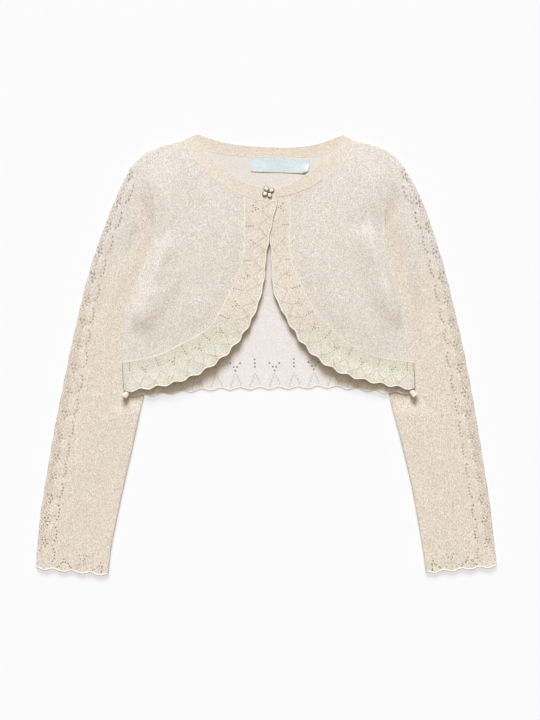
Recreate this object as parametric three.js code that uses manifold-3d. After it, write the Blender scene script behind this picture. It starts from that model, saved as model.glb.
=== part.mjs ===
import * as THREE from 'three';
import { mergeVertices } from 'three/addons/utils/BufferGeometryUtils.js';
import Module from 'manifold-3d';

// A girl's bolero jacket in fine knit, laid out flat with its front up.
// Millimetres. +X is the viewer's right, +Y runs from hem to neck, +Z is up from the surface.
// Right and left in the names are the wearer's, so the right front is on the viewer's left.

const wasm = await Module();
wasm.setup();

// Cloth and the way its layers lie
const cloth = 1.2;
const labelCloth = 1.0;
const seamInset = 0.35;
const layerGap = 0.4;
const floorMid = cloth / 2;
const layerStep = cloth + layerGap;
const tuckedRise = 2.0;
const freeRise = 3.7;
const bodyOverSleeve = floorMid + tuckedRise + layerStep;

// Where the body lifts to lie over the sleeves, and where a sleeve comes clear of it
const liftRun = { from: 32, to: 9 };
const clearRun = { from: 5, to: 25 };
const underarmRun = { from: 164, to: 188 };
const backDropFrom = 170;
const hemLevel = -43;

// Scalloped edges
const scallops = {
  front: { count: 16, depth: 3.2, wave: 0.7 },
  hem: { count: 15, depth: 2.6 },
  cuff: { count: 4, depth: 2.6 },
};
const pointsPerScallop = 6;

// How finely each piece is divided
const divisions = {
  length: 600,
  front: { down: 18, across: 16, seam: 48 },
  edging: { coarse: 3 },
  band: 28,
  back: { down: 16, across: 30, neck: 60 },
  sleeve: { lining: 18 },
};

// Leaf lace down the outer fold of each sleeve
const lace = { repeat: 25, rowsPerRepeat: 3, height: 0.7, centre: 9.5, spread: 5.5 };

// Where the points of a sleeve's ring lie: from the outer fold in mm, and as parts of its width
const columns = {
  lace: [4.5, 9.5, 14.5, 20],
  beside: [0.42, 0.56, 0.7, 0.85],
  plain: [0.25, 0.5, 0.75],
  insideTurn: 1.7,
};

// Plan of the whole, moved so that it is centred on the origin
const planCentre = { x: -0.05, y: 0.56 };

// Sections of the neckband from the shoulder fold to the front opening
const rightNeckSections = [
  { seamX: -90.0, seamY: 237.4, seamZ: 2.2, innerX: -76.8, innerY: 243.4, innerZ: 2.2 },
  { seamX: -83.1, seamY: 222.6, seamZ: 3.6, innerX: -69.1, innerY: 228.0, innerZ: 3.2 },
  { seamX: -71.1, seamY: 207.4, seamZ: 4.8, innerX: -59.2, innerY: 215.2, innerZ: 4.4 },
  { seamX: -56.4, seamY: 194.7, seamZ: 5.6, innerX: -46.5, innerY: 204.4, innerZ: 5.4 },
  { seamX: -39.9, seamY: 182.9, seamZ: 6.2, innerX: -33.3, innerY: 194.5, innerZ: 6.2 },
  { seamX: -22.3, seamY: 174.6, seamZ: 6.7, innerX: -17.4, innerY: 187.3, innerZ: 6.7 },
  { seamX: -4.7, seamY: 170.3, seamZ: 6.9, innerX: -2.5, innerY: 182.9, innerZ: 6.9 },
  { seamX: 12.3, seamY: 170.0, seamZ: 6.9, innerX: 12.3, innerY: 181.8, innerZ: 6.9 },
];
const leftNeckSections = [
  { seamX: 96.9, seamY: 236.0, seamZ: 2.2, innerX: 84.9, innerY: 242.7, innerZ: 2.2 },
  { seamX: 91.5, seamY: 222.6, seamZ: 3.4, innerX: 78.0, innerY: 230.0, innerZ: 3.2 },
  { seamX: 82.2, seamY: 210.7, seamZ: 4.4, innerX: 71.0, innerY: 221.2, innerZ: 4.2 },
  { seamX: 68.9, seamY: 198.7, seamZ: 5.0, innerX: 58.4, innerY: 209.9, innerZ: 5.0 },
  { seamX: 55.6, seamY: 188.7, seamZ: 5.2, innerX: 46.4, innerY: 200.8, innerZ: 5.2 },
  { seamX: 40.4, seamY: 181.3, seamZ: 5.2, innerX: 33.2, innerY: 192.0, innerZ: 5.2 },
  { seamX: 23.9, seamY: 176.0, seamZ: 5.0, innerX: 19.5, innerY: 185.4, innerZ: 5.0 },
  { seamX: -2.0, seamY: 171.6, seamZ: 5.0, innerX: -4.0, innerY: 181.0, innerZ: 5.0 },
];
const backNeckSections = [
  { seamX: -90.0, seamY: 237.4, innerX: -76.8, innerY: 243.4 },
  { seamX: -73.5, seamY: 229.0, innerX: -66.5, innerY: 240.0 },
  { seamX: -55.0, seamY: 223.2, innerX: -51.0, innerY: 235.2 },
  { seamX: -28.5, seamY: 219.8, innerX: -27.0, innerY: 231.0 },
  { seamX: 0.0, seamY: 218.2, innerX: 0.0, innerY: 229.3 },
  { seamX: 28.0, seamY: 218.0, innerX: 28.0, innerY: 228.8 },
  { seamX: 56.0, seamY: 220.4, innerX: 52.5, innerY: 231.5 },
  { seamX: 78.5, seamY: 227.8, innerX: 71.5, innerY: 237.5 },
  { seamX: 96.9, seamY: 236.0, innerX: 84.9, innerY: 242.7 },
];

// Shoulder seams from the neck to the sleeve
const rightShoulder = [
  { x: -90.0, y: 237.4 },
  { x: -117.0, y: 230.0 },
  { x: -136.0, y: 221.0 },
  { x: -150.0, y: 207.0 },
];
const leftShoulder = [
  { x: 96.9, y: 236.0 },
  { x: 119.5, y: 231.2 },
  { x: 138.0, y: 222.0 },
  { x: 151.5, y: 208.0 },
];

// Outer edge of the body from the shoulder down the armhole and the side to the hem
const rightSide = [
  { x: -150.0, y: 207.0, frontZ: 2.4 },
  { x: -131.0, y: 187.5, frontZ: 4.8 },
  { x: -126.0, y: 166.0, frontZ: 5.9 },
  { x: -124.5, y: 146.5, frontZ: 5.9 },
  { x: -126.5, y: 124.0, frontZ: 5.9 },
  { x: -135.5, y: 98.0, frontZ: 5.9 },
  { x: -145.0, y: 73.0, frontZ: 5.9 },
  { x: -152.5, y: 52.0, frontZ: 5.9 },
  { x: -156.0, y: 28.0, frontZ: 5.9 },
  { x: -157.5, y: 8.0, frontZ: 5.9 },
  { x: -158.0, y: -7.5, frontZ: 5.9 },
  { x: -158.0, y: -26.0, frontZ: 5.9 },
  { x: -157.0, y: -43.0, frontZ: 5.9 },
];
const leftSide = [
  { x: 151.5, y: 208.0, frontZ: 2.4 },
  { x: 135.0, y: 185.0, frontZ: 4.8 },
  { x: 131.0, y: 166.0, frontZ: 5.9 },
  { x: 130.5, y: 146.5, frontZ: 5.9 },
  { x: 133.5, y: 122.0, frontZ: 5.9 },
  { x: 139.0, y: 98.0, frontZ: 5.9 },
  { x: 145.5, y: 73.0, frontZ: 5.9 },
  { x: 151.0, y: 52.0, frontZ: 5.9 },
  { x: 155.0, y: 28.0, frontZ: 5.9 },
  { x: 159.0, y: 8.0, frontZ: 5.9 },
  { x: 162.0, y: -7.5, frontZ: 5.9 },
  { x: 163.5, y: -26.0, frontZ: 5.9 },
  { x: 163.5, y: -41.0, frontZ: 5.9 },
];
const armholeRow = 2;
const armholeShare = 0.7;
const edgingRow = 10;

// Sections of the scalloped edging from the neckband round the cut-away front to the side
const rightEdgingSections = [
  { seamX: -24.0, seamY: 175.3, seamZ: 6.7, outerX: 12.3, outerY: 170.0, outerZ: 6.9 },
  { seamX: -24.0, seamY: 153.0, seamZ: 6.9, outerX: 7.5, outerY: 152.0, outerZ: 6.9 },
  { seamX: -24.0, seamY: 130.0, seamZ: 7.0, outerX: 3.0, outerY: 130.0, outerZ: 6.9 },
  { seamX: -25.0, seamY: 108.0, seamZ: 7.1, outerX: -0.5, outerY: 109.0, outerZ: 7.0 },
  { seamX: -31.0, seamY: 89.0, seamZ: 7.2, outerX: -2.5, outerY: 86.0, outerZ: 7.2 },
  { seamX: -39.0, seamY: 71.5, seamZ: 7.5, outerX: -7.0, outerY: 63.5, outerZ: 7.8 },
  { seamX: -48.0, seamY: 54.0, seamZ: 7.8, outerX: -15.0, outerY: 42.0, outerZ: 8.5 },
  { seamX: -58.5, seamY: 35.5, seamZ: 8.0, outerX: -27.5, outerY: 20.5, outerZ: 9.2 },
  { seamX: -73.0, seamY: 23.0, seamZ: 8.0, outerX: -46.0, outerY: -0.5, outerZ: 9.6 },
  { seamX: -92.0, seamY: 13.0, seamZ: 7.8, outerX: -72.0, outerY: -18.5, outerZ: 9.6 },
  { seamX: -115.0, seamY: 1.5, seamZ: 7.4, outerX: -101.0, outerY: -30.0, outerZ: 9.2 },
  { seamX: -136.0, seamY: -4.0, seamZ: 6.8, outerX: -130.0, outerY: -36.0, outerZ: 8.4 },
  { seamX: -158.0, seamY: -7.5, seamZ: 5.9, outerX: -157.0, outerY: -39.5, outerZ: 6.6 },
];
const leftEdgingSections = [
  { seamX: 25.5, seamY: 176.4, seamZ: 5.0, outerX: -2.0, outerY: 171.6, outerZ: 5.0 },
  { seamX: 26.3, seamY: 153.0, seamZ: 5.1, outerX: 0.0, outerY: 152.0, outerZ: 5.0 },
  { seamX: 25.8, seamY: 130.0, seamZ: 5.3, outerX: 4.3, outerY: 128.0, outerZ: 5.0 },
  { seamX: 27.0, seamY: 107.5, seamZ: 5.8, outerX: 6.3, outerY: 107.0, outerZ: 5.6 },
  { seamX: 32.5, seamY: 91.0, seamZ: 6.5, outerX: 6.8, outerY: 84.0, outerZ: 6.6 },
  { seamX: 39.0, seamY: 75.5, seamZ: 7.1, outerX: 10.0, outerY: 65.5, outerZ: 7.6 },
  { seamX: 46.0, seamY: 61.5, seamZ: 7.6, outerX: 18.0, outerY: 48.5, outerZ: 8.4 },
  { seamX: 55.0, seamY: 46.0, seamZ: 7.9, outerX: 29.5, outerY: 28.5, outerZ: 9.0 },
  { seamX: 67.0, seamY: 33.5, seamZ: 8.0, outerX: 42.5, outerY: 10.5, outerZ: 9.4 },
  { seamX: 81.0, seamY: 19.8, seamZ: 8.0, outerX: 62.0, outerY: -7.5, outerZ: 9.6 },
  { seamX: 98.5, seamY: 8.0, seamZ: 7.8, outerX: 85.0, outerY: -20.0, outerZ: 9.4 },
  { seamX: 120.0, seamY: -1.0, seamZ: 7.3, outerX: 110.0, outerY: -27.5, outerZ: 8.9 },
  { seamX: 140.5, seamY: -5.0, seamZ: 6.6, outerX: 136.0, outerY: -33.0, outerZ: 8.0 },
  { seamX: 162.0, seamY: -7.5, seamZ: 5.9, outerX: 163.5, outerY: -37.5, outerZ: 6.6 },
];

// Hem of the back from side to side
const hemLine = [
  { x: -157.0, y: -43.0 },
  { x: -132.0, y: -44.0 },
  { x: -100.0, y: -41.0 },
  { x: -66.0, y: -37.5 },
  { x: -18.0, y: -36.2 },
  { x: 30.0, y: -35.6 },
  { x: 72.0, y: -34.6 },
  { x: 106.0, y: -38.0 },
  { x: 135.0, y: -41.0 },
  { x: 163.5, y: -41.0 },
];

// Sections of each sleeve from the armhole to the cuff
const rightSleeveSections = [
  { outerX: -150.0, outerY: 207.0, innerX: -112.0, innerY: 143.0 },
  { outerX: -167.5, outerY: 168.5, innerX: -113.0, innerY: 116.0 },
  { outerX: -187.5, outerY: 116.0, innerX: -114.5, innerY: 82.0 },
  { outerX: -202.5, outerY: 63.0, innerX: -115.5, innerY: 38.0 },
  { outerX: -213.5, outerY: 15.0, innerX: -124.5, innerY: -7.0 },
  { outerX: -224.5, outerY: -37.0, innerX: -137.0, innerY: -56.0 },
  { outerX: -233.5, outerY: -82.0, innerX: -146.3, innerY: -99.0 },
  { outerX: -241.5, outerY: -130.0, innerX: -156.5, innerY: -144.0 },
  { outerX: -247.8, outerY: -168.0, innerX: -164.5, innerY: -182.0 },
  { outerX: -252.0, outerY: -203.0, innerX: -170.5, innerY: -213.0 },
  { outerX: -254.5, outerY: -235.0, innerX: -173.9, innerY: -243.0 },
];
const leftSleeveSections = [
  { outerX: 151.5, outerY: 208.0, innerX: 117.0, innerY: 143.0 },
  { outerX: 172.0, outerY: 168.5, innerX: 118.0, innerY: 117.0 },
  { outerX: 190.3, outerY: 116.0, innerX: 119.5, innerY: 82.0 },
  { outerX: 204.2, outerY: 63.0, innerX: 119.0, innerY: 38.0 },
  { outerX: 215.2, outerY: 15.0, innerX: 126.0, innerY: -5.0 },
  { outerX: 225.8, outerY: -38.0, innerX: 137.8, innerY: -56.0 },
  { outerX: 233.6, outerY: -84.0, innerX: 149.3, innerY: -100.0 },
  { outerX: 241.2, outerY: -131.0, innerX: 159.8, innerY: -144.5 },
  { outerX: 246.9, outerY: -168.0, innerX: 166.5, innerY: -181.5 },
  { outerX: 251.0, outerY: -203.0, innerX: 172.0, innerY: -213.0 },
  { outerX: 254.5, outerY: -233.0, innerX: 175.5, innerY: -240.0 },
];

// How far the middle of a front stands above its edges
const frontPuff = 1.6;

// Largest folds: soft ridges and troughs from one end to the other
const frontFolds = [
  { fromX: -118, fromY: 122, toX: -140, toY: 28, width: 11, rise: 2.6 },
  { fromX: -92, fromY: 96, toX: -112, toY: 22, width: 15, rise: -1.5 },
  { fromX: -122, fromY: 205, toX: -104, toY: 132, width: 13, rise: 1.1 },
  { fromX: -60, fromY: 160, toX: -74, toY: 92, width: 18, rise: 1.0 },
  { fromX: 124, fromY: 128, toX: 138, toY: 30, width: 11, rise: 2.4 },
  { fromX: 100, fromY: 90, toX: 112, toY: 20, width: 15, rise: -1.4 },
  { fromX: 118, fromY: 206, toX: 106, toY: 150, width: 13, rise: 1.0 },
  { fromX: 62, fromY: 150, toX: 70, toY: 80, width: 18, rise: 0.9 },
];
const sleeveFolds = [
  { fromX: -168, fromY: 120, toX: -184, toY: 40, width: 9, rise: -0.9 },
  { fromX: -196, fromY: -60, toX: -206, toY: -150, width: 11, rise: 0.6 },
  { fromX: -168, fromY: -84, toX: -182, toY: -190, width: 8, rise: -0.6 },
  { fromX: 172, fromY: 116, toX: 188, toY: 34, width: 9, rise: -0.9 },
  { fromX: 196, fromY: -56, toX: 206, toY: -140, width: 11, rise: 0.6 },
  { fromX: 172, fromY: -90, toX: 186, toY: -190, width: 8, rise: -0.6 },
];

// Neck label and its turned-up corner
const label = { x: 14.3, y: 207.6, width: 64, depth: 15, turn: -0.034, curl: 1.5 };

// Flower button
const button = { x: 2, y: 179.6, seat: 7.82, hub: 2.5 };
const cup = { height: 1.5, floor: 0.6, rim: 0.35, fit: 0.3, stone: 1.5 };
const petals = [
  { x: -2.1, y: 3.7 },
  { x: 3.8, y: 1.8 },
  { x: -3.4, y: -2.0 },
  { x: 1.7, y: -3.6 },
];
const petalSize = { along: 2.75, across: 2.35 };

// Even steps from 0 to 1
function evenStops(count) {
  return Array.from({ length: count + 1 }, (_, i) => i / count);
}

function smoothStep(from, to, value) {
  const t = Math.min(Math.max((value - from) / (to - from), 0), 1);
  return t * t * (3 - 2 * t);
}

// A scallop's outline: 0 at a notch and 1 at the middle of a lobe
function lobe(position) {
  return Math.abs(Math.sin(Math.PI * position));
}

// Value of a named column between the rows of a table, along a smooth curve; 0 with no such column
function columnAt(rows, name, position) {
  const last = rows.length - 1;
  const index = Math.min(Math.max(Math.floor(position), 0), last - 1);
  const f = position - index;
  const value = (k) => rows[Math.min(Math.max(k, 0), last)][name] ?? 0;
  const before = value(index - 1);
  const here = value(index);
  const next = value(index + 1);
  const after = value(index + 2);
  const square = 2 * before - 5 * here + 4 * next - after;
  const cube = 3 * (here - next) + after - before;
  return here + 0.5 * f * (next - before + f * (square + f * cube));
}

function pointAt(rows, names, position) {
  return new THREE.Vector3(...names.map((name) => columnAt(rows, name, position)));
}

// Turns even steps of length along the named columns into positions in the table
function paceAlong(rows, names, first = 0, last = rows.length - 1) {
  const steps = divisions.length;
  const lengths = [0];
  let previous = pointAt(rows, names, first).setZ(0);
  for (let i = 1; i <= steps; i += 1) {
    const point = pointAt(rows, names, first + (last - first) * i / steps).setZ(0);
    lengths.push(lengths[i - 1] + point.distanceTo(previous));
    previous = point;
  }
  const total = lengths[steps];
  const pace = (t) => {
    const target = Math.min(Math.max(t, 0), 1) * total;
    let low = 0;
    let high = steps;
    while (high - low > 1) {
      const middle = (low + high) >> 1;
      if (lengths[middle] <= target) low = middle;
      else high = middle;
    }
    const part = (target - lengths[low]) / Math.max(lengths[high] - lengths[low], 1e-9);
    return first + (last - first) * (low + part) / steps;
  };
  pace.total = total;
  return pace;
}

// The curve along the named columns, read by even steps of its length
function curveAlong(rows, names, first, last) {
  const pace = paceAlong(rows, names, first, last);
  return (t) => pointAt(rows, names, pace(t));
}

// Value of the x column of a table whose y column falls from row to row
function xAtHeight(rows, y) {
  const last = rows.length - 1;
  if (y >= rows[0].y) return rows[0].x;
  if (y <= rows[last].y) return rows[last].x;
  const index = rows.findIndex((row, i) => i < last && y <= row.y && y >= rows[i + 1].y);
  let low = index;
  let high = index + 1;
  for (let i = 0; i < 24; i += 1) {
    const middle = (low + high) / 2;
    if (columnAt(rows, 'y', middle) > y) low = middle;
    else high = middle;
  }
  return columnAt(rows, 'x', low);
}

// Height of the folds over a place in plan
function foldLift(folds, x, y) {
  let lift = 0;
  for (const fold of folds) {
    const alongX = fold.toX - fold.fromX;
    const alongY = fold.toY - fold.fromY;
    const length = Math.hypot(alongX, alongY);
    const part = ((x - fold.fromX) * alongX + (y - fold.fromY) * alongY) / (length * length);
    const aside = ((x - fold.fromX) * alongY - (y - fold.fromY) * alongX) / length;
    const ends = smoothStep(-0.25, 0.3, part) * smoothStep(1.25, 0.7, part);
    lift += fold.rise * ends * Math.exp(-((aside / fold.width) ** 2));
  }
  return lift;
}

// A surface filled in between four edge curves: u runs from top to bottom, v from start to end
function patch(top, bottom, start, end) {
  const corners = [top(0), top(1), bottom(0), bottom(1)];
  return (u, v) => {
    const weights = [(1 - u) * (1 - v), (1 - u) * v, u * (1 - v), u * v];
    const point = top(v).multiplyScalar(1 - u);
    point.addScaledVector(bottom(v), u);
    point.addScaledVector(start(u), 1 - v);
    point.addScaledVector(end(u), v);
    corners.forEach((corner, i) => point.addScaledVector(corner, -weights[i]));
    return point;
  };
}

// Pulls the edges of a surface in, so that linked pieces stay clear of each other
function trimmed(surface, inset = seamInset) {
  const step = 0.01;
  const share = (a, b) => inset * step / Math.max(Math.hypot(a.x - b.x, a.y - b.y), 1e-6);
  return (u, v) => {
    const top = share(surface(0, v), surface(step, v));
    const bottom = share(surface(1, v), surface(1 - step, v));
    const start = share(surface(u, 0), surface(u, step));
    const end = share(surface(u, 1), surface(u, 1 - step));
    return surface(top + u * (1 - top - bottom), start + v * (1 - start - end));
  };
}

// Triangles between two rows of points, each with its stops from 0 to 1
function stitch(triangles, rowA, rowB) {
  let a = 0;
  let b = 0;
  while (a < rowA.stops.length - 1 || b < rowB.stops.length - 1) {
    const nextA = rowA.stops[a + 1] ?? Infinity;
    const nextB = rowB.stops[b + 1] ?? Infinity;
    if (nextA <= nextB + 1e-9) {
      triangles.push([rowA.ids[a], rowB.ids[b], rowA.ids[a + 1]]);
      a += 1;
    } else {
      triangles.push([rowA.ids[a], rowB.ids[b], rowB.ids[b + 1]]);
      b += 1;
    }
  }
}

function geometryOf(points, triangles) {
  const geometry = new THREE.BufferGeometry();
  const positions = new Float32Array(points.flatMap((point) => [point.x, point.y, point.z]));
  geometry.setAttribute('position', new THREE.BufferAttribute(positions, 3));
  geometry.setIndex(triangles.flat());
  geometry.computeVertexNormals();
  return geometry;
}

// A closed cloth wall round a surface of middle points, given as rows with their stops
function wallGeometry(surface, rows, thickness = cloth) {
  const middle = [];
  const meshRows = rows.map(({ u, stops }) => {
    const ids = stops.map((v) => middle.push(surface(u, v)) - 1);
    return { stops, ids };
  });
  const skin = [];
  for (let i = 1; i < meshRows.length; i += 1) {
    stitch(skin, meshRows[i - 1], meshRows[i]);
  }
  const normals = middle.map(() => new THREE.Vector3());
  const faceNormal = ([a, b, c]) => {
    const ab = new THREE.Vector3().subVectors(middle[b], middle[a]);
    const ac = new THREE.Vector3().subVectors(middle[c], middle[a]);
    return ab.cross(ac);
  };
  const upward = skin.reduce((sum, face) => sum + faceNormal(face).z, 0) > 0;
  const faces = upward ? skin : skin.map(([a, b, c]) => [a, c, b]);
  for (const face of faces) {
    const normal = faceNormal(face);
    face.forEach((id) => normals[id].add(normal));
  }
  normals.forEach((normal) => normal.normalize());
  const count = middle.length;
  const top = middle.map((point, i) => point.clone().addScaledVector(normals[i], thickness / 2));
  const bottom = middle.map((point, i) => point.clone().addScaledVector(normals[i], -thickness / 2));
  const triangles = [];
  const edges = new Map();
  for (const [a, b, c] of faces) {
    triangles.push([a, b, c], [a + count, c + count, b + count]);
    [[a, b], [b, c], [c, a]].forEach(([p, q]) => edges.set(`${p},${q}`, [p, q]));
  }
  for (const [p, q] of edges.values()) {
    if (!edges.has(`${q},${p}`)) {
      triangles.push([q, p, p + count], [q, p + count, q + count]);
    }
  }
  return geometryOf([...top, ...bottom], triangles);
}

// Rows of a wall: even down the surface, with finer stops on the rows that are named
function wallRows(uStops, stops, finerRows = new Map()) {
  return uStops.map((u, i) => ({ u, stops: finerRows.get(i) ?? stops }));
}

const sides = {
  right: {
    sign: -1,
    neck: rightNeckSections,
    shoulder: rightShoulder,
    side: rightSide,
    edging: rightEdgingSections,
    sleeve: rightSleeveSections,
  },
  left: {
    sign: 1,
    neck: leftNeckSections,
    shoulder: leftShoulder,
    side: leftSide,
    edging: leftEdgingSections,
    sleeve: leftSleeveSections,
  },
};

const plan = (rows, first, last) => curveAlong(rows, ['x', 'y', 'none'], first, last);

// How far a place lies outwards of a sleeve's hidden inner edge
function overSleeve(side, x, y) {
  const inner = side.sleeve.map((row) => ({ x: row.innerX, y: row.innerY }));
  return side.sign * (x - xAtHeight(inner, y));
}

// Middle height of the back: flat on the surface, lifted where a sleeve lies under it
function backHeight(x, y) {
  const side = x < 0 ? sides.right : sides.left;
  const over = smoothStep(-liftRun.from, -liftRun.to, overSleeve(side, x, y));
  const below = 1 - smoothStep(backDropFrom, side.side[0].y, y);
  return floorMid + (bodyOverSleeve - floorMid) * over * below;
}

// Space between the middles of a sleeve's two layers: less where the body lies on it
function sleeveRise(side, x, y) {
  const beside = side.sign * (x - xAtHeight(side.side, y));
  const below = hemLevel - y;
  const clear = smoothStep(clearRun.from, clearRun.to, Math.max(beside, below));
  const tucked = 1 - smoothStep(underarmRun.from, underarmRun.to, y);
  const free = 1 - tucked * (1 - clear);
  const folded = freeRise + foldLift(sleeveFolds, x, y) * clear;
  return tuckedRise + (folded - tuckedRise) * free;
}

// Sleeve: a flattened tube, open at the armhole and the cuff
function sleeveGeometry(side) {
  const outerNames = ['outerX', 'outerY', 'none'];
  const innerNames = ['innerX', 'innerY', 'none'];
  const pace = paceAlong(side.sleeve, outerNames);
  const ends = [pointAt(side.sleeve, outerNames, 0), pointAt(side.sleeve, innerNames, 0)];
  const seamPlan = plan(side.side, 0, armholeRow);
  const armholeSeam = (across) => {
    if (across < armholeShare) return seamPlan(across / armholeShare);
    return seamPlan(1).lerp(ends[1], (across - armholeShare) / (1 - armholeShare));
  };
  const armhole = (across) => {
    const step = 0.01;
    const along = armholeSeam(across + step).sub(armholeSeam(across - step)).normalize();
    const away = new THREE.Vector3(-along.y, along.x, 0).multiplyScalar(side.sign);
    return armholeSeam(across).addScaledVector(away, 2 * seamInset);
  };
  const bowRun = 0.12;
  const placeAt = (u, across) => {
    const outer = pointAt(side.sleeve, outerNames, pace(u));
    const inner = pointAt(side.sleeve, innerNames, pace(u));
    const point = outer.lerp(inner, across);
    const bow = armhole(across).sub(ends[0].clone().lerp(ends[1], across));
    return point.addScaledVector(bow, 1 - smoothStep(0, bowRun, u));
  };
  const widthAt = (u) => {
    const position = pace(u);
    const outer = pointAt(side.sleeve, outerNames, position);
    return outer.distanceTo(pointAt(side.sleeve, innerNames, position));
  };
  const relief = (u, distance) => {
    const repeatPart = lobe(u * pace.total / lace.repeat);
    const atEnds = smoothStep(0.02, 0.06, u) * smoothStep(0.99, 0.95, u);
    const aside = (distance - lace.centre) / lace.spread;
    return lace.height * repeatPart * atEnds * Math.exp(-(aside ** 2));
  };
  const cuffStops = scallops.cuff.count * pointsPerScallop;

  // One ring of the outer or inner skin; a fine ring carries the scallops of the cuff
  const ringAt = (u, skin, fine) => {
    const width = widthAt(u);
    const inside = skin === 'inner';
    const first = inside ? columns.insideTurn : 0;
    const last = width - first;
    const extra = inside ? cloth / 2 : 0;
    const edgeRise = (across) => {
      const place = placeAt(u, across);
      return sleeveRise(side, place.x, place.y);
    };
    const riseOuter = edgeRise(0);
    const riseInner = edgeRise(1);
    const start = riseOuter / 2 + cloth / 2 + extra;
    const end = width - (riseInner / 2 + cloth / 2 + extra);
    const plain = columns.plain.map((part) => part * width);
    const laced = [...columns.lace, ...columns.beside.map((part) => part * width)];
    const scalloped = evenStops(cuffStops).slice(1, -1).map((part) => part * width);
    const between = (list) => {
      const inRange = list.filter((distance) => distance > start + 1 && distance < end - 1);
      return [start, ...inRange, end];
    };
    const upper = inside ? plain : laced;
    const top = between(fine ? scalloped : upper);
    const bottom = between(fine ? scalloped : plain).reverse();
    const stops = [0];
    const points = [];
    const place = (distance, z) => {
      const across = distance / width;
      const notch = fine ? (1 - lobe(across * scallops.cuff.count)) * scallops.cuff.depth : 0;
      return placeAt(u - notch / pace.total, across).setZ(z);
    };
    points.push(place(first, floorMid + riseOuter / 2));
    for (const distance of top) {
      const at = placeAt(u, distance / width);
      const rise = sleeveRise(side, at.x, at.y);
      const z = inside ? rise : rise + cloth + relief(u, distance);
      points.push(place(distance, z));
      stops.push((distance - first) / (last - first) / 2);
    }
    points.push(place(last, floorMid + riseInner / 2));
    stops.push(0.5);
    for (const distance of bottom) {
      points.push(place(distance, inside ? cloth : 0));
      stops.push(1 - (distance - first) / (last - first) / 2);
    }
    stops.push(1);
    return { points, stops };
  };
  const rowCount = Math.round(pace.total / lace.repeat * lace.rowsPerRepeat);
  const outerStops = evenStops(rowCount).slice(0, -1);
  const innerStops = evenStops(divisions.sleeve.lining).slice(0, -1).reverse();
  const rings = [
    ...outerStops.map((u) => ringAt(u, 'outer', false)),
    ringAt(1, 'outer', true),
    ringAt(1, 'inner', true),
    ...innerStops.map((u) => ringAt(u, 'inner', false)),
  ];
  const points = [];
  const meshRings = rings.map((ring) => {
    const ids = ring.points.map((point) => points.push(point) - 1);
    return { stops: ring.stops, ids: [...ids, ids[0]] };
  });
  const triangles = [];
  meshRings.forEach((ring, i) => stitch(triangles, ring, meshRings[(i + 1) % meshRings.length]));
  const volume = triangles.reduce((sum, [a, b, c]) => {
    return sum + points[a].dot(new THREE.Vector3().crossVectors(points[b], points[c]));
  }, 0);
  const outward = volume > 0 ? triangles : triangles.map(([a, b, c]) => [a, c, b]);
  return geometryOf(points, outward);
}

// Front: shoulder at the top, edging seam at the bottom, neck seam and side to either hand
function frontGeometry(side) {
  const seamNames = ['seamX', 'seamY', 'seamZ'];
  const neckEnd = crossing(side.neck, seamNames, side.edging[0].seamX);
  const shoulderPlan = plan(side.shoulder);
  const lift = (point) => point.setZ(backHeight(point.x, point.y) + layerStep);
  const shoulder = (v) => lift(shoulderPlan(v));
  const neck = curveAlong(side.neck, seamNames, 0, neckEnd);
  const edging = curveAlong(side.edging, seamNames);
  const flank = curveAlong(side.side, ['x', 'y', 'frontZ'], 0, edgingRow);
  const cut = patch(shoulder, edging, neck, flank);
  const surface = (u, v) => {
    const point = cut(u, v);
    const away = smoothStep(0, 0.2, u) * smoothStep(1, 0.85, u) * smoothStep(0, 0.25, v);
    const inward = away * smoothStep(1, 0.8, v);
    point.z += inward * (frontPuff + foldLift(frontFolds, point.x, point.y));
    return point;
  };
  const { down, across, seam } = divisions.front;
  const finer = new Map([[down, evenStops(seam)]]);
  return wallGeometry(trimmed(surface), wallRows(evenStops(down), evenStops(across), finer));
}

// Position in a table where its smooth curve crosses a place in x
function crossing(rows, names, x) {
  let low = 0;
  let high = rows.length - 1;
  const rising = rows[high][names[0]] > rows[low][names[0]];
  for (let i = 0; i < 30; i += 1) {
    const middle = (low + high) / 2;
    if (columnAt(rows, names[0], middle) < x === rising) low = middle;
    else high = middle;
  }
  return low;
}

// Scalloped edging, linked to the front on its seam side and to the neckband at its top
function edgingGeometry(side) {
  const seamNames = ['seamX', 'seamY', 'seamZ'];
  const outerNames = ['outerX', 'outerY', 'outerZ'];
  const pace = paceAlong(side.edging, outerNames);
  const neckFrom = crossing(side.neck, seamNames, side.edging[0].seamX);
  const neckTop = curveAlong(side.neck, seamNames, neckFrom, side.neck.length - 1);
  const topRun = 0.07;
  const { count, depth, wave } = scallops.front;
  const surface = (t, across) => {
    const position = pace(t);
    const seam = pointAt(side.edging, seamNames, position);
    const outer = pointAt(side.edging, outerNames, position);
    const point = seam.clone().lerp(outer, across);
    const straight = pointAt(side.edging, seamNames, 0);
    straight.lerp(pointAt(side.edging, outerNames, 0), across);
    point.addScaledVector(neckTop(across).sub(straight), 1 - smoothStep(0, topRun, t));
    const outward = outer.sub(seam).setZ(0).normalize();
    const edge = smoothStep(0.5, 1, across);
    point.addScaledVector(outward, edge * depth * (lobe(t * count) - 0.6));
    point.z += edge * wave * smoothStep(0.4, 0.6, t) * Math.cos(2 * Math.PI * t * count);
    return point;
  };
  const fine = evenStops(count * pointsPerScallop);
  const coarse = evenStops(count * divisions.edging.coarse);
  const turned = (u, v) => surface(v, u);
  const rows = [
    { u: 0, stops: coarse },
    { u: 0.4, stops: coarse },
    { u: 0.75, stops: fine },
    { u: 1, stops: fine },
  ];
  return wallGeometry(trimmed(turned), rows);
}

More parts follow.
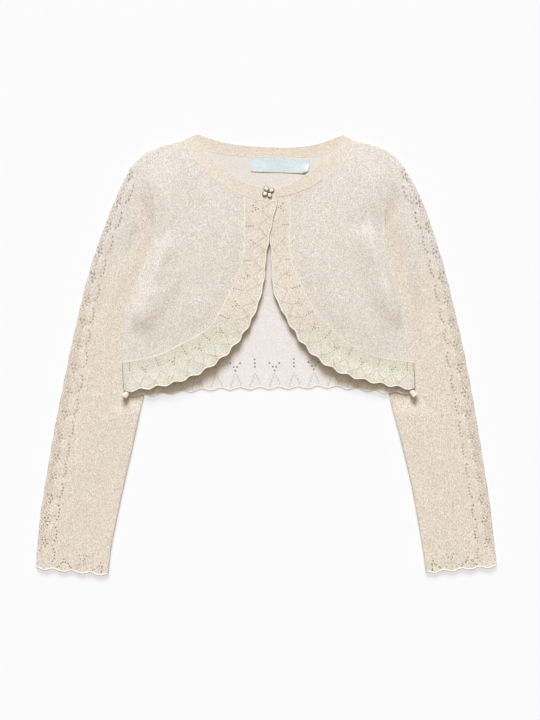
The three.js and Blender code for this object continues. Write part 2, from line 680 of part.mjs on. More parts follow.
// A strip of band between its seam and its free edge
function bandGeometry(sections, height) {
  const seamNames = ['seamX', 'seamY', 'seamZ'];
  const innerNames = ['innerX', 'innerY', 'innerZ'];
  const pace = paceAlong(sections, seamNames);
  const surface = (u, v) => {
    const seam = pointAt(sections, seamNames, pace(v));
    const point = seam.lerp(pointAt(sections, innerNames, pace(v)), u);
    if (height) point.z = height;
    return point;
  };
  return wallGeometry(trimmed(surface), wallRows([0, 0.5, 1], evenStops(divisions.band)));
}

// Back: shoulders and neck at the top, scalloped hem at the bottom
function backGeometry() {
  const { right, left } = sides;
  const shoulderPart = 0.2;
  const rightPlan = plan(right.shoulder);
  const leftPlan = plan(left.shoulder);
  const neckPlan = curveAlong(backNeckSections, ['seamX', 'seamY', 'none']);
  const top = (v) => {
    if (v < shoulderPart) return rightPlan(1 - v / shoulderPart);
    if (v > 1 - shoulderPart) return leftPlan(1 - (1 - v) / shoulderPart);
    return neckPlan((v - shoulderPart) / (1 - 2 * shoulderPart));
  };
  const hemPlan = plan(hemLine);
  const { count, depth } = scallops.hem;
  const cut = patch(top, hemPlan, plan(right.side), plan(left.side));
  const surface = (u, v) => {
    const point = cut(u, v);
    point.z = backHeight(point.x, point.y);
    point.y -= smoothStep(0.93, 1, u) * depth * (lobe(v * count) - 0.6);
    return point;
  };
  const hemStops = evenStops(count * pointsPerScallop);
  const { down, across, neck } = divisions.back;
  const hemStart = 0.97;
  const downStops = [...evenStops(down).map((u) => u * hemStart), 1];
  const finer = new Map([[0, evenStops(neck)], [down, hemStops], [down + 1, hemStops]]);
  return wallGeometry(trimmed(surface), wallRows(downStops, evenStops(across), finer));
}

// Woven label, lying on the back below the neckband
function labelGeometry() {
  const { x, y, width, depth, turn, curl } = label;
  const height = floorMid + cloth / 2 + layerGap + labelCloth / 2;
  const surface = (u, v) => {
    const corner = smoothStep(0.82, 1, v) * smoothStep(0.3, 1, u);
    const across = (v - 0.5) * width;
    const down = (0.5 - u) * depth;
    const placeX = x + across * Math.cos(turn) - down * Math.sin(turn);
    const placeY = y + across * Math.sin(turn) + down * Math.cos(turn);
    return new THREE.Vector3(placeX, placeY, height + curl * corner);
  };
  const stops = [0, 0.2, 0.4, 0.6, 0.78, 0.86, 0.93, 1];
  return wallGeometry(surface, wallRows(evenStops(4), stops), labelCloth);
}

// Closed solid turned about an upright axis, then drawn out to an oval
function ovalSolid(profile, petal) {
  const points = profile.map(([radius, height]) => new THREE.Vector2(radius, height));
  const solid = new THREE.LatheGeometry(points, 14);
  solid.rotateX(Math.PI / 2);
  solid.scale(petalSize.along, petalSize.across, 1);
  solid.rotateZ(Math.atan2(petal.y, petal.x));
  solid.translate(petal.x, petal.y, 0);
  return solid;
}

function manifoldOf(geometry) {
  const bare = geometry.clone();
  bare.deleteAttribute('normal');
  bare.deleteAttribute('uv');
  const merged = mergeVertices(bare, 1e-4);
  const vertProperties = new Float32Array(merged.attributes.position.array);
  const triVerts = new Uint32Array(merged.index.array);
  return new wasm.Manifold(new wasm.Mesh({ numProp: 3, vertProperties, triVerts }));
}

function geometryOfManifold(solid) {
  const mesh = solid.getMesh();
  const geometry = new THREE.BufferGeometry();
  geometry.setAttribute('position', new THREE.BufferAttribute(mesh.vertProperties, 3));
  geometry.setIndex(new THREE.BufferAttribute(mesh.triVerts, 1));
  geometry.computeVertexNormals();
  return geometry;
}

// Metal of the button: a hub that joins four oval cups
function buttonSetting() {
  const inside = 1 - cup.rim / petalSize.across;
  const section = [
    [0, 0],
    [0.8, 0],
    [1, 0.5],
    [1, cup.height],
    [inside, cup.height],
    [inside, cup.floor],
    [0, cup.floor],
  ];
  const disc = new THREE.CylinderGeometry(button.hub, button.hub, cup.floor, 16);
  disc.rotateX(Math.PI / 2);
  disc.translate(0, 0, cup.floor / 2);
  let solid = manifoldOf(disc);
  for (const petal of petals) {
    solid = solid.add(manifoldOf(ovalSolid(section, petal)));
  }
  return geometryOfManifold(solid);
}

// A domed stone that sits in its cup
function buttonStone(petal) {
  const reach = 1 - (cup.rim + cup.fit) / petalSize.across;
  const base = cup.floor + cup.fit;
  const dome = [
    [0, base],
    [reach, base],
    [reach, base + 0.4],
    [reach * 0.82, base + cup.stone * 0.7],
    [reach * 0.45, base + cup.stone * 0.95],
    [0, base + cup.stone],
  ];
  return ovalSolid(dome, petal);
}

const finishes = {
  knit: new THREE.MeshStandardMaterial({ color: '#e6ddd0', roughness: 0.85, metalness: 0 }),
  inside: new THREE.MeshStandardMaterial({ color: '#efe8e0', roughness: 0.88, metalness: 0 }),
  edging: new THREE.MeshStandardMaterial({ color: '#e8ddcd', roughness: 0.85, metalness: 0 }),
  band: new THREE.MeshStandardMaterial({ color: '#ede3d6', roughness: 0.82, metalness: 0 }),
  label: new THREE.MeshStandardMaterial({ color: '#d7e8ec', roughness: 0.55, metalness: 0 }),
  metal: new THREE.MeshStandardMaterial({ color: '#8d8579', roughness: 0.35, metalness: 1 }),
  stone: new THREE.MeshStandardMaterial({ color: '#f3ecdf', roughness: 0.12, metalness: 0 }),
};

const jacket = new THREE.Group();
jacket.position.set(-planCentre.x, -planCentre.y, 0);

function addPiece(parent, name, geometry, finish) {
  const piece = new THREE.Mesh(geometry, finish);
  piece.name = name;
  parent.add(piece);
}

addPiece(jacket, 'back_panel', backGeometry(), finishes.inside);
addPiece(jacket, 'back_neckband', bandGeometry(backNeckSections, floorMid), finishes.band);
for (const [name, side] of Object.entries(sides)) {
  addPiece(jacket, `${name}_front_panel`, frontGeometry(side), finishes.knit);
  addPiece(jacket, `${name}_front_edging`, edgingGeometry(side), finishes.edging);
  addPiece(jacket, `${name}_neckband`, bandGeometry(side.neck), finishes.band);
  addPiece(jacket, `${name}_sleeve`, sleeveGeometry(side), finishes.knit);
}
addPiece(jacket, 'neck_label', labelGeometry(), finishes.label);

const flower = new THREE.Group();
flower.position.set(button.x, button.y, button.seat);
addPiece(flower, 'button_setting', buttonSetting(), finishes.metal);
petals.forEach((petal, i) => {
  addPiece(flower, `button_stone_${i + 1}`, buttonStone(petal), finishes.stone);
});
jacket.add(flower);

export default jacket;
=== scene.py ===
import math

import bmesh
import bpy
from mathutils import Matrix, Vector
from mathutils.kdtree import KDTree

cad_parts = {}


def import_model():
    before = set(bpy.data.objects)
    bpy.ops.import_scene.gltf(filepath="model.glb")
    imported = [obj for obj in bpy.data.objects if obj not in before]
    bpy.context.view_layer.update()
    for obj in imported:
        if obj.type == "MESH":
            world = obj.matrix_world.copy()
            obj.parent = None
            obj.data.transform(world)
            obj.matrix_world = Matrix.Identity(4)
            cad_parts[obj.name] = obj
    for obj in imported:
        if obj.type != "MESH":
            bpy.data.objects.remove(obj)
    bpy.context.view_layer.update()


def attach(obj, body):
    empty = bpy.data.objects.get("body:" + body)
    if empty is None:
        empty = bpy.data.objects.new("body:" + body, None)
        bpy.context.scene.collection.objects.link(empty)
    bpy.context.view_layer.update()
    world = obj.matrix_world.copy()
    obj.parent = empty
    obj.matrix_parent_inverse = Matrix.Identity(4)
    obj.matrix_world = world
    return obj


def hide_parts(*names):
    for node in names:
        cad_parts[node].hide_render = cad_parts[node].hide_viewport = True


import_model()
print("frame loaded")

# Sizes are millimetres on the plan of the jacket, +X to the viewer's right, +Y up to the neck.
# Right and left are the wearer's. The plan is moved a little, so that the CAD box is centred.
planShift = Vector((0.05, -0.56, 0))
mm = 0.001

cloth = {
    "wall": 1.1,
    "floorMid": 0.6,
    "layerStep": 1.6,
    "tuckedRise": 2.0,
    "freeRise": 3.7,
    "bodyOverSleeve": 4.2,
    "liftFrom": 32,
    "liftTo": 9,
    "clearFrom": 5,
    "clearTo": 25,
    "underarmFrom": 164,
    "underarmTo": 188,
    "backDropFrom": 170,
    "hemLevel": -43,
}

# Seam edge x, y, z and free edge x, y, z, from the shoulder fold to the opening
rightNeck = [
    (-90.0, 237.4, 2.2, -76.8, 243.4, 2.2),
    (-83.1, 222.6, 3.6, -69.1, 228.0, 3.2),
    (-71.1, 207.4, 4.8, -59.2, 215.2, 4.4),
    (-56.4, 194.7, 5.6, -46.5, 204.4, 5.4),
    (-39.9, 182.9, 6.2, -33.3, 194.5, 6.2),
    (-22.3, 174.6, 6.7, -17.4, 187.3, 6.7),
    (-4.7, 170.3, 6.9, -2.5, 182.9, 6.9),
    (12.3, 170.0, 6.9, 12.3, 181.8, 6.9),
]
leftNeck = [
    (96.9, 236.0, 2.2, 84.9, 242.7, 2.2),
    (91.5, 222.6, 3.4, 78.0, 230.0, 3.2),
    (82.2, 210.7, 4.4, 71.0, 221.2, 4.2),
    (68.9, 198.7, 5.0, 58.4, 209.9, 5.0),
    (55.6, 188.7, 5.2, 46.4, 200.8, 5.2),
    (40.4, 181.3, 5.2, 33.2, 192.0, 5.2),
    (23.9, 176.0, 5.0, 19.5, 185.4, 5.0),
    (-2.0, 171.6, 5.0, -4.0, 181.0, 5.0),
]
backNeck = [
    (-90.0, 237.4, 0.6, -76.8, 243.4, 0.6),
    (-73.5, 229.0, 0.6, -66.5, 240.0, 0.6),
    (-55.0, 223.2, 0.6, -51.0, 235.2, 0.6),
    (-28.5, 219.8, 0.6, -27.0, 231.0, 0.6),
    (0.0, 218.2, 0.6, 0.0, 229.3, 0.6),
    (28.0, 218.0, 0.6, 28.0, 228.8, 0.6),
    (56.0, 220.4, 0.6, 52.5, 231.5, 0.6),
    (78.5, 227.8, 0.6, 71.5, 237.5, 0.6),
    (96.9, 236.0, 0.6, 84.9, 242.7, 0.6),
]

# Shoulder seams, x and y from the neck to the sleeve
rightShoulder = [(-90.0, 237.4), (-117.0, 230.0), (-136.0, 221.0), (-150.0, 207.0)]
leftShoulder = [(96.9, 236.0), (119.5, 231.2), (138.0, 222.0), (151.5, 208.0)]

# Outer edge of the body: x, y and the height of the front, from the shoulder to the hem
rightSide = [
    (-150.0, 207.0, 2.4),
    (-131.0, 187.5, 4.8),
    (-126.0, 166.0, 5.9),
    (-124.5, 146.5, 5.9),
    (-126.5, 124.0, 5.9),
    (-135.5, 98.0, 5.9),
    (-145.0, 73.0, 5.9),
    (-152.5, 52.0, 5.9),
    (-156.0, 28.0, 5.9),
    (-157.5, 8.0, 5.9),
    (-158.0, -7.5, 5.9),
    (-158.0, -26.0, 5.9),
    (-157.0, -43.0, 5.9),
]
leftSide = [
    (151.5, 208.0, 2.4),
    (135.0, 185.0, 4.8),
    (131.0, 166.0, 5.9),
    (130.5, 146.5, 5.9),
    (133.5, 122.0, 5.9),
    (139.0, 98.0, 5.9),
    (145.5, 73.0, 5.9),
    (151.0, 52.0, 5.9),
    (155.0, 28.0, 5.9),
    (159.0, 8.0, 5.9),
    (162.0, -7.5, 5.9),
    (163.5, -26.0, 5.9),
    (163.5, -41.0, 5.9),
]

# Scalloped edging: seam edge x, y, z and free edge x, y, z, from the neckband to the side
rightEdging = [
    (-24.0, 175.3, 6.7, 12.3, 170.0, 6.9),
    (-24.0, 153.0, 6.9, 7.5, 152.0, 6.9),
    (-24.0, 130.0, 7.0, 3.0, 130.0, 6.9),
    (-25.0, 108.0, 7.1, -0.5, 109.0, 7.0),
    (-31.0, 89.0, 7.2, -2.5, 86.0, 7.2),
    (-39.0, 71.5, 7.5, -7.0, 63.5, 7.8),
    (-48.0, 54.0, 7.8, -15.0, 42.0, 8.5),
    (-58.5, 35.5, 8.0, -27.5, 20.5, 9.2),
    (-73.0, 23.0, 8.0, -46.0, -0.5, 9.6),
    (-92.0, 13.0, 7.8, -72.0, -18.5, 9.6),
    (-115.0, 1.5, 7.4, -101.0, -30.0, 9.2),
    (-136.0, -4.0, 6.8, -130.0, -36.0, 8.4),
    (-158.0, -7.5, 5.9, -157.0, -39.5, 6.6),
]
leftEdging = [
    (25.5, 176.4, 5.0, -2.0, 171.6, 5.0),
    (26.3, 153.0, 5.1, 0.0, 152.0, 5.0),
    (25.8, 130.0, 5.3, 4.3, 128.0, 5.0),
    (27.0, 107.5, 5.8, 6.3, 107.0, 5.6),
    (32.5, 91.0, 6.5, 6.8, 84.0, 6.6),
    (39.0, 75.5, 7.1, 10.0, 65.5, 7.6),
    (46.0, 61.5, 7.6, 18.0, 48.5, 8.4),
    (55.0, 46.0, 7.9, 29.5, 28.5, 9.0),
    (67.0, 33.5, 8.0, 42.5, 10.5, 9.4),
    (81.0, 19.8, 8.0, 62.0, -7.5, 9.6),
    (98.5, 8.0, 7.8, 85.0, -20.0, 9.4),
    (120.0, -1.0, 7.3, 110.0, -27.5, 8.9),
    (140.5, -5.0, 6.6, 136.0, -33.0, 8.0),
    (162.0, -7.5, 5.9, 163.5, -37.5, 6.6),
]

# Hem of the back, x and y from side to side
hemLine = [
    (-157.0, -43.0),
    (-132.0, -44.0),
    (-100.0, -41.0),
    (-66.0, -37.5),
    (-18.0, -36.2),
    (30.0, -35.6),
    (72.0, -34.6),
    (106.0, -38.0),
    (135.0, -41.0),
    (163.5, -41.0),
]

# Sleeves: outer edge x, y and inner edge x, y, from the armhole to the cuff
rightSleeve = [
    (-150.0, 207.0, -112.0, 143.0),
    (-167.5, 168.5, -113.0, 116.0),
    (-187.5, 116.0, -114.5, 82.0),
    (-202.5, 63.0, -115.5, 38.0),
    (-213.5, 15.0, -124.5, -7.0),
    (-224.5, -37.0, -137.0, -56.0),
    (-233.5, -82.0, -146.3, -99.0),
    (-241.5, -130.0, -156.5, -144.0),
    (-247.8, -168.0, -164.5, -182.0),
    (-252.0, -203.0, -170.5, -213.0),
    (-254.5, -235.0, -173.9, -243.0),
]
leftSleeve = [
    (151.5, 208.0, 117.0, 143.0),
    (172.0, 168.5, 118.0, 117.0),
    (190.3, 116.0, 119.5, 82.0),
    (204.2, 63.0, 119.0, 38.0),
    (215.2, 15.0, 126.0, -5.0),
    (225.8, -38.0, 137.8, -56.0),
    (233.6, -84.0, 149.3, -100.0),
    (241.2, -131.0, 159.8, -144.5),
    (246.9, -168.0, 166.5, -181.5),
    (251.0, -203.0, 172.0, -213.0),
    (254.5, -233.0, 175.5, -240.0),
]

halves = {
    "right": {
        "sign": -1,
        "neck": rightNeck,
        "shoulder": rightShoulder,
        "side": rightSide,
        "edging": rightEdging,
        "sleeve": rightSleeve,
    },
    "left": {
        "sign": 1,
        "neck": leftNeck,
        "shoulder": leftShoulder,
        "side": leftSide,
        "edging": leftEdging,
        "sleeve": leftSleeve,
    },
}


def smoothStep(start, end, value):
    t = min(max((value - start) / (end - start), 0), 1)
    return t * t * (3 - 2 * t)


def lobe(position):
    # a scallop's outline: 0 at a notch and 1 at the middle of a lobe, with a rounded notch
    sharp = abs(math.sin(math.pi * position))
    return 0.15 * sharp + 0.85 * sharp * sharp


def rowAt(rows, position):
    # the columns of a table between its rows, along a smooth curve
    last = len(rows) - 1
    index = min(max(int(position), 0), last - 1)
    f = position - index
    picks = [rows[min(max(k, 0), last)] for k in (index - 1, index, index + 1, index + 2)]
    return [
        b + 0.5 * f * (c - a + f * (2 * a - 5 * b + 4 * c - d + f * (3 * (b - c) + d - a)))
        for a, b, c, d in zip(*picks)
    ]


def pointAt(rows, columns, position):
    row = rowAt(rows, position)
    return Vector([0 if k is None else row[k] for k in columns])


def paceAlong(rows, columns, first=0, last=None):
    # turns even steps of length in plan into positions in the table
    last = len(rows) - 1 if last is None else last
    steps = 400
    lengths = [0]
    previous = pointAt(rows, columns, first).xy
    for i in range(1, steps + 1):
        point = pointAt(rows, columns, first + (last - first) * i / steps).xy
        lengths.append(lengths[-1] + (point - previous).length)
        previous = point
    total = lengths[-1]

    def pace(t):
        target = min(max(t, 0), 1) * total
        low, high = 0, steps
        while high - low > 1:
            middle = (low + high) // 2
            if lengths[middle] <= target:
                low = middle
            else:
                high = middle
        part = (target - lengths[low]) / max(lengths[high] - lengths[low], 1e-9)
        return first + (last - first) * (low + part) / steps

    return pace, total


def curveAlong(rows, columns, first=0, last=None):
    pace = paceAlong(rows, columns, first, last)[0]
    return lambda t: pointAt(rows, columns, pace(t))


def crossing(rows, column, value):
    # the position in a table where a column that keeps rising or falling has a value
    low, high = 0, len(rows) - 1
    rising = rows[high][column] > rows[low][column]
    for _ in range(30):
        middle = (low + high) / 2
        if (rowAt(rows, middle)[column] < value) == rising:
            low = middle
        else:
            high = middle
    return low


def xAtHeight(rows, y, xColumn=0, yColumn=1):
    if y >= rows[0][yColumn]:
        return rows[0][xColumn]
    if y <= rows[-1][yColumn]:
        return rows[-1][xColumn]
    return rowAt(rows, crossing(rows, yColumn, y))[xColumn]


def foldLift(folds, x, y):
    # height of the soft folds over a place. Each is drawn downwards: its two ends, how wide it
    # falls away to the viewer's left and to the right, and its rise
    lift = 0
    for fromX, fromY, toX, toY, leftWide, rightWide, rise in folds:
        alongX, alongY = toX - fromX, toY - fromY
        length = math.hypot(alongX, alongY)
        part = ((x - fromX) * alongX + (y - fromY) * alongY) / length**2
        aside = ((y - fromY) * alongX - (x - fromX) * alongY) / length
        width = rightWide if aside > 0 else leftWide
        ends = smoothStep(-0.25, 0.3, part) * smoothStep(1.25, 0.7, part)
        lift += rise * ends * math.exp(-((aside / width) ** 2))
    return lift


def patch(top, bottom, start, end):
    # a surface between four edge curves: u runs from top to bottom, v from start to end
    corners = [top(0), top(1), bottom(0), bottom(1)]

    def surface(u, v):
        weights = [(1 - u) * (1 - v), (1 - u) * v, u * (1 - v), u * v]
        point = top(v) * (1 - u) + bottom(v) * u + start(u) * (1 - v) + end(u) * v
        for corner, weight in zip(corners, weights):
            point -= corner * weight
        return point

    return surface


def gradedStops(count, length, nearStart=(), nearEnd=()):
    # even stops from 0 to 1, with closer ones in mm from either end where a fold turns over
    stops = {i / count for i in range(count + 1)}
    stops |= {near / length for near in nearStart}
    stops |= {1 - near / length for near in nearEnd}
    return sorted(stops)


def turnOver(distance, reach, drop):
    # how far a folded edge rolls down, on a quarter circle
    if distance >= reach:
        return 0
    return drop * (1 - math.sqrt(max(1 - (1 - distance / reach) ** 2, 0)))


def linear(hexColour):
    values = [int(hexColour[i : i + 2], 16) / 255 for i in (1, 3, 5)]
    return [v / 12.92 if v <= 0.04045 else ((v + 0.055) / 1.055) ** 2.4 for v in values] + [1]


def selectOnly(piece):
    bpy.ops.object.select_all(action="DESELECT")
    piece.select_set(True)
    bpy.context.view_layer.objects.active = piece


def addNode(material, kind, settings=None, links=None):
    node = material.node_tree.nodes.new(kind)
    for name, value in (settings or {}).items():
        if isinstance(name, int):
            node.inputs[name].default_value = value
        elif name in node.inputs and not hasattr(node, name):
            node.inputs[name].default_value = value
        else:
            setattr(node, name, value)
    for socket, source in (links or {}).items():
        material.node_tree.links.new(source, node.inputs[socket])
    return node


def newMaterial(name):
    material = bpy.data.materials.new(name)
    material.use_nodes = True
    material.node_tree.nodes.clear()
    return material


def maths(material, operation, *values, clamp=False):
    node = addNode(material, "ShaderNodeMath", {"operation": operation, "use_clamp": clamp})
    for i, value in enumerate(values):
        if isinstance(value, (int, float)):
            node.inputs[i].default_value = value
        else:
            material.node_tree.links.new(value, node.inputs[i])
    return node.outputs[0]


def mixColours(material, factor, first, second, blend="MIX"):
    node = addNode(material, "ShaderNodeMix", {"data_type": "RGBA", "blend_type": blend})
    for i, value in ((0, factor), (6, first), (7, second)):
        if isinstance(value, (int, float, list)):
            node.inputs[i].default_value = value
        else:
            material.node_tree.links.new(value, node.inputs[i])
    return node.outputs[2]


def ramp(material, factor, stops):
    node = addNode(material, "ShaderNodeValToRGB", links={0: factor})
    elements = node.color_ramp.elements
    while len(elements) < len(stops):
        elements.new(0.5)
    for element, (position, colour) in zip(elements, stops):
        element.position = position
        element.color = colour
    return node.outputs[0]


def yarnColour(material, yarn, look):
    return ramp(
        material, yarn,
        [(0.36, linear(look["dark"])), (0.5, linear(look["middle"])), (0.64, linear(look["light"]))],
    )


def knitMaterial(name, look, besideLook=None):
    # Viscose knitted with a fine metallic thread: matt cream yarn, mottled, with tiny glints
    material = newMaterial(name)
    sheet = addNode(material, "ShaderNodeUVMap", {"uv_map": "knit"}).outputs[0]
    place = addNode(material, "ShaderNodeTexCoord").outputs["Object"]
    split = addNode(material, "ShaderNodeSeparateXYZ", links={0: sheet})

    # V-shaped stitches. The real ones are about 0.9 mm wide, drawn coarser so that they show
    wales = maths(material, "DIVIDE", split.outputs[0], look["stitchWide"])
    courses = maths(material, "DIVIDE", split.outputs[1], look["stitchTall"])
    across = maths(material, "FRACT", wales)
    aside = maths(material, "ABSOLUTE", maths(material, "MULTIPLY_ADD", across, 2, -1))
    slanted = maths(material, "MULTIPLY_ADD", aside, 0.6, courses)
    turns = maths(material, "SINE", maths(material, "MULTIPLY", slanted, 2 * math.pi))
    course = maths(material, "MULTIPLY_ADD", turns, 0.5, 0.5)
    leg = maths(material, "SINE", maths(material, "MULTIPLY", aside, math.pi))
    stitch = maths(material, "MULTIPLY", maths(material, "MULTIPLY_ADD", leg, 0.75, 0.25), course)

    # Yarn that is never quite even, and the mottle of the two threads knitted together
    drawn = addNode(material, "ShaderNodeMapping", links={"Vector": place})
    drawn.inputs["Scale"].default_value = (1.5, 1, 1)
    yarn = addNode(
        material, "ShaderNodeTexNoise", {"Scale": 1 / look["grain"], "Detail": 3, "Roughness": 0.7},
        {"Vector": drawn.outputs[0]},
    ).outputs["Fac"]
    fleck = addNode(
        material, "ShaderNodeTexVoronoi", {"Scale": 1 / look["fleckSize"], "Randomness": 1},
        {"Vector": drawn.outputs[0]},
    ).outputs["Color"]
    fleckValue = addNode(material, "ShaderNodeSeparateColor", links={0: fleck}).outputs[1]
    yarn = maths(material, "MULTIPLY_ADD", maths(material, "ADD", fleckValue, -0.5), look["flecks"], yarn)
    broad = addNode(
        material, "ShaderNodeTexNoise", {"Scale": 1 / look["patchSize"], "Detail": 2, "Roughness": 0.5},
        {"Vector": place},
    ).outputs["Fac"]
    glint = addNode(
        material, "ShaderNodeTexVoronoi", {"Scale": 1 / look["glintSize"], "Randomness": 1},
        {"Vector": place},
    ).outputs["Color"]
    glintValue = addNode(material, "ShaderNodeSeparateColor", links={0: glint}).outputs[0]
    crisp = 14  # how sharply a glint stands out from the matt yarn
    sparkle = maths(
        material, "MULTIPLY_ADD", glintValue, crisp, -crisp * (1 - look["glints"]), clamp=True
    )

    colour = yarnColour(material, yarn, look)
    if besideLook:
        beside = addNode(material, "ShaderNodeAttribute", {"attribute_name": "beside"}).outputs["Fac"]
        colour = mixColours(material, beside, colour, yarnColour(material, yarn, besideLook))
    tinted = addNode(
        material, "ShaderNodeTexNoise", {"Scale": 1 / look["tintSize"], "Detail": 1, "Roughness": 0.5},
        {"Vector": place},
    ).outputs["Color"]
    colour = mixColours(material, look["tints"], colour, tinted, "SOFT_LIGHT")
    # painted shade in the grooves between the stitches
    colour = mixColours(
        material, maths(material, "MULTIPLY_ADD", stitch, -look["groove"], look["groove"], clamp=True),
        colour, linear(look["paintedGrooveShade"]),
    )
    patchy = maths(material, "MULTIPLY_ADD", broad, look["patches"], 1 - look["patches"] / 2)
    colour = mixColours(
        material, 1.0, colour,
        addNode(material, "ShaderNodeCombineColor", links={0: patchy, 1: patchy, 2: patchy}).outputs[0],
        "MULTIPLY",
    )
    # painted shade round each eyelet: the yarn round the hole is darkened in its colour, standing in for the
    # shade in and under the hole
    openwork = addNode(material, "ShaderNodeAttribute", {"attribute_name": "openwork"}).outputs["Fac"]
    colour = mixColours(
        material, maths(material, "MULTIPLY", openwork, look["openShade"], clamp=True),
        colour, linear(look["open"]),
    )

    height = maths(material, "MULTIPLY_ADD", yarn, look["fuzz"], stitch)
    bump = addNode(
        material, "ShaderNodeBump", {"Strength": look["bump"], "Distance": look["relief"]},
        {"Height": height},
    )
    shader = addNode(
        material, "ShaderNodeBsdfPrincipled",
        {"IOR": 1.5, "Sheen Weight": 0.3, "Sheen Roughness": 0.4},
        {
            "Base Color": colour,
            "Metallic": maths(material, "MULTIPLY", sparkle, 0.6),
            "Roughness": maths(material, "MULTIPLY_ADD", sparkle, -0.35, look["rough"]),
            "Normal": bump.outputs[0],
        },
    )
    addNode(material, "ShaderNodeOutputMaterial", links={0: shader.outputs[0]})
    return material


# Stitches in mm, the sizes of the yarn's patterns and its relief in metres, and shares of 1
bodyLook = {
    "stitchWide": 1.5,
    "stitchTall": 1.2,
    "grain": 1.4 * mm,
    "fleckSize": 1.1 * mm,
    "flecks": 0.2,
    "tintSize": 2.4 * mm,
    "tints": 0.2,
    "glintSize": 1.3 * mm,
    "glints": 0.12,
    "dark": "#cdc4ba",
    "middle": "#e3dcd3",
    "light": "#f8f4ee",
    # painted shade in the stitches' grooves: its colour, and below, how much of it
    "paintedGrooveShade": "#6f5c45",
    "groove": 0.12,
    "patchSize": 45 * mm,
    "patches": 0.02,
    # painted shade round the eyelets: its colour and how much of it is mixed in
    "open": "#3c2610",
    "openShade": 0.62,
    "fuzz": 0.9,
    "bump": 0.5,
    "relief": 0.6 * mm,
    "rough": 0.85,
}
sleeveLook = {
    **bodyLook, "dark": "#cfc2b0", "middle": "#e6dbce", "light": "#f8f1e7", "open": "#6a4420",
}
hemLook = {**bodyLook, "dark": "#cac3b6", "middle": "#ddd7cb", "light": "#efeae1", "glints": 0.06}
edgingLook = {
    **bodyLook, "dark": "#d4c8b7", "middle": "#eadfd2", "light": "#faf4ea", "glints": 0.06, "openShade": 1,
}
bandLook = {**edgingLook, "dark": "#d8ccbe", "middle": "#eae0d5", "light": "#f8f2ea", "stitchWide": 1.3}
backBandLook = {
    **bandLook, "dark": "#d6c9b7", "middle": "#e8dccd", "light": "#f6eee2", "stitchWide": 2.2,
}
insideLook = {
    **bodyLook, "dark": "#e2dcd8", "middle": "#ede8e5", "light": "#f5f2ef", "glints": 0.03, "tints": 0.08,
    "groove": 0.06, "openShade": 1,
}
# painted shade: a darker, warmer copy of the inside, for the back where it lies under the fronts
paintedShadeInsideLook = {**insideLook, "dark": "#dcd5ce", "middle": "#e6e0da", "light": "#efeae5"}
linkLook = {**bodyLook, "dark": "#efe7da", "middle": "#f8f3ea", "light": "#fffbf4", "glints": 0, "tints": 0}
# painted shade: dark yarn laid along seams where there is only the shade of a groove
paintedShadeLineLook = {**linkLook, "dark": "#94816a", "middle": "#a59279", "light": "#b7a58e"}

frontCloth = knitMaterial("viscoseMetallicKnit", bodyLook)
sleeveCloth = knitMaterial("viscoseMetallicKnitSleeve", sleeveLook, bodyLook)
edgingCloth = knitMaterial("pointelleKnit", edgingLook, hemLook)
bandCloth = knitMaterial("closeKnitBand", bandLook)
backBandCloth = knitMaterial("ribbedBand", backBandLook)
insideCloth = knitMaterial("knitInside", insideLook, paintedShadeInsideLook)
linkCloth = knitMaterial("linkedEdge", linkLook)
paintedShadeLineCloth = knitMaterial("paintedShadeLinking", paintedShadeLineLook)


def world(point):
    return (point + planShift) * mm


def newCloth(name, columns, rows, place, flat):
    # a grid whose points are laid out one by one; flat gives each point's place on the knit in mm
    bpy.ops.object.select_all(action="DESELECT")
    bpy.ops.mesh.primitive_grid_add(x_subdivisions=columns, y_subdivisions=rows, size=2)
    piece = bpy.context.active_object
    piece.name = name
    mesh = piece.data
    mesh.uv_layers.active.name = "knit"
    steps = []
    for vertex in mesh.vertices:
        i = round((vertex.co.x + 1) / 2 * columns)
        j = round((vertex.co.y + 1) / 2 * rows)
        steps.append((i, j))
        vertex.co = world(place(i, j))
    layer = mesh.uv_layers["knit"].data
    for loop in mesh.loops:
        layer[loop.index].uv = flat(*steps[loop.vertex_index])
    mesh.update()
    return piece


def faceUp(piece):
    # a sheet that lies flat has its front up
    if sum(face.normal.z * face.area for face in piece.data.polygons) < 0:
        piece.data.flip_normals()


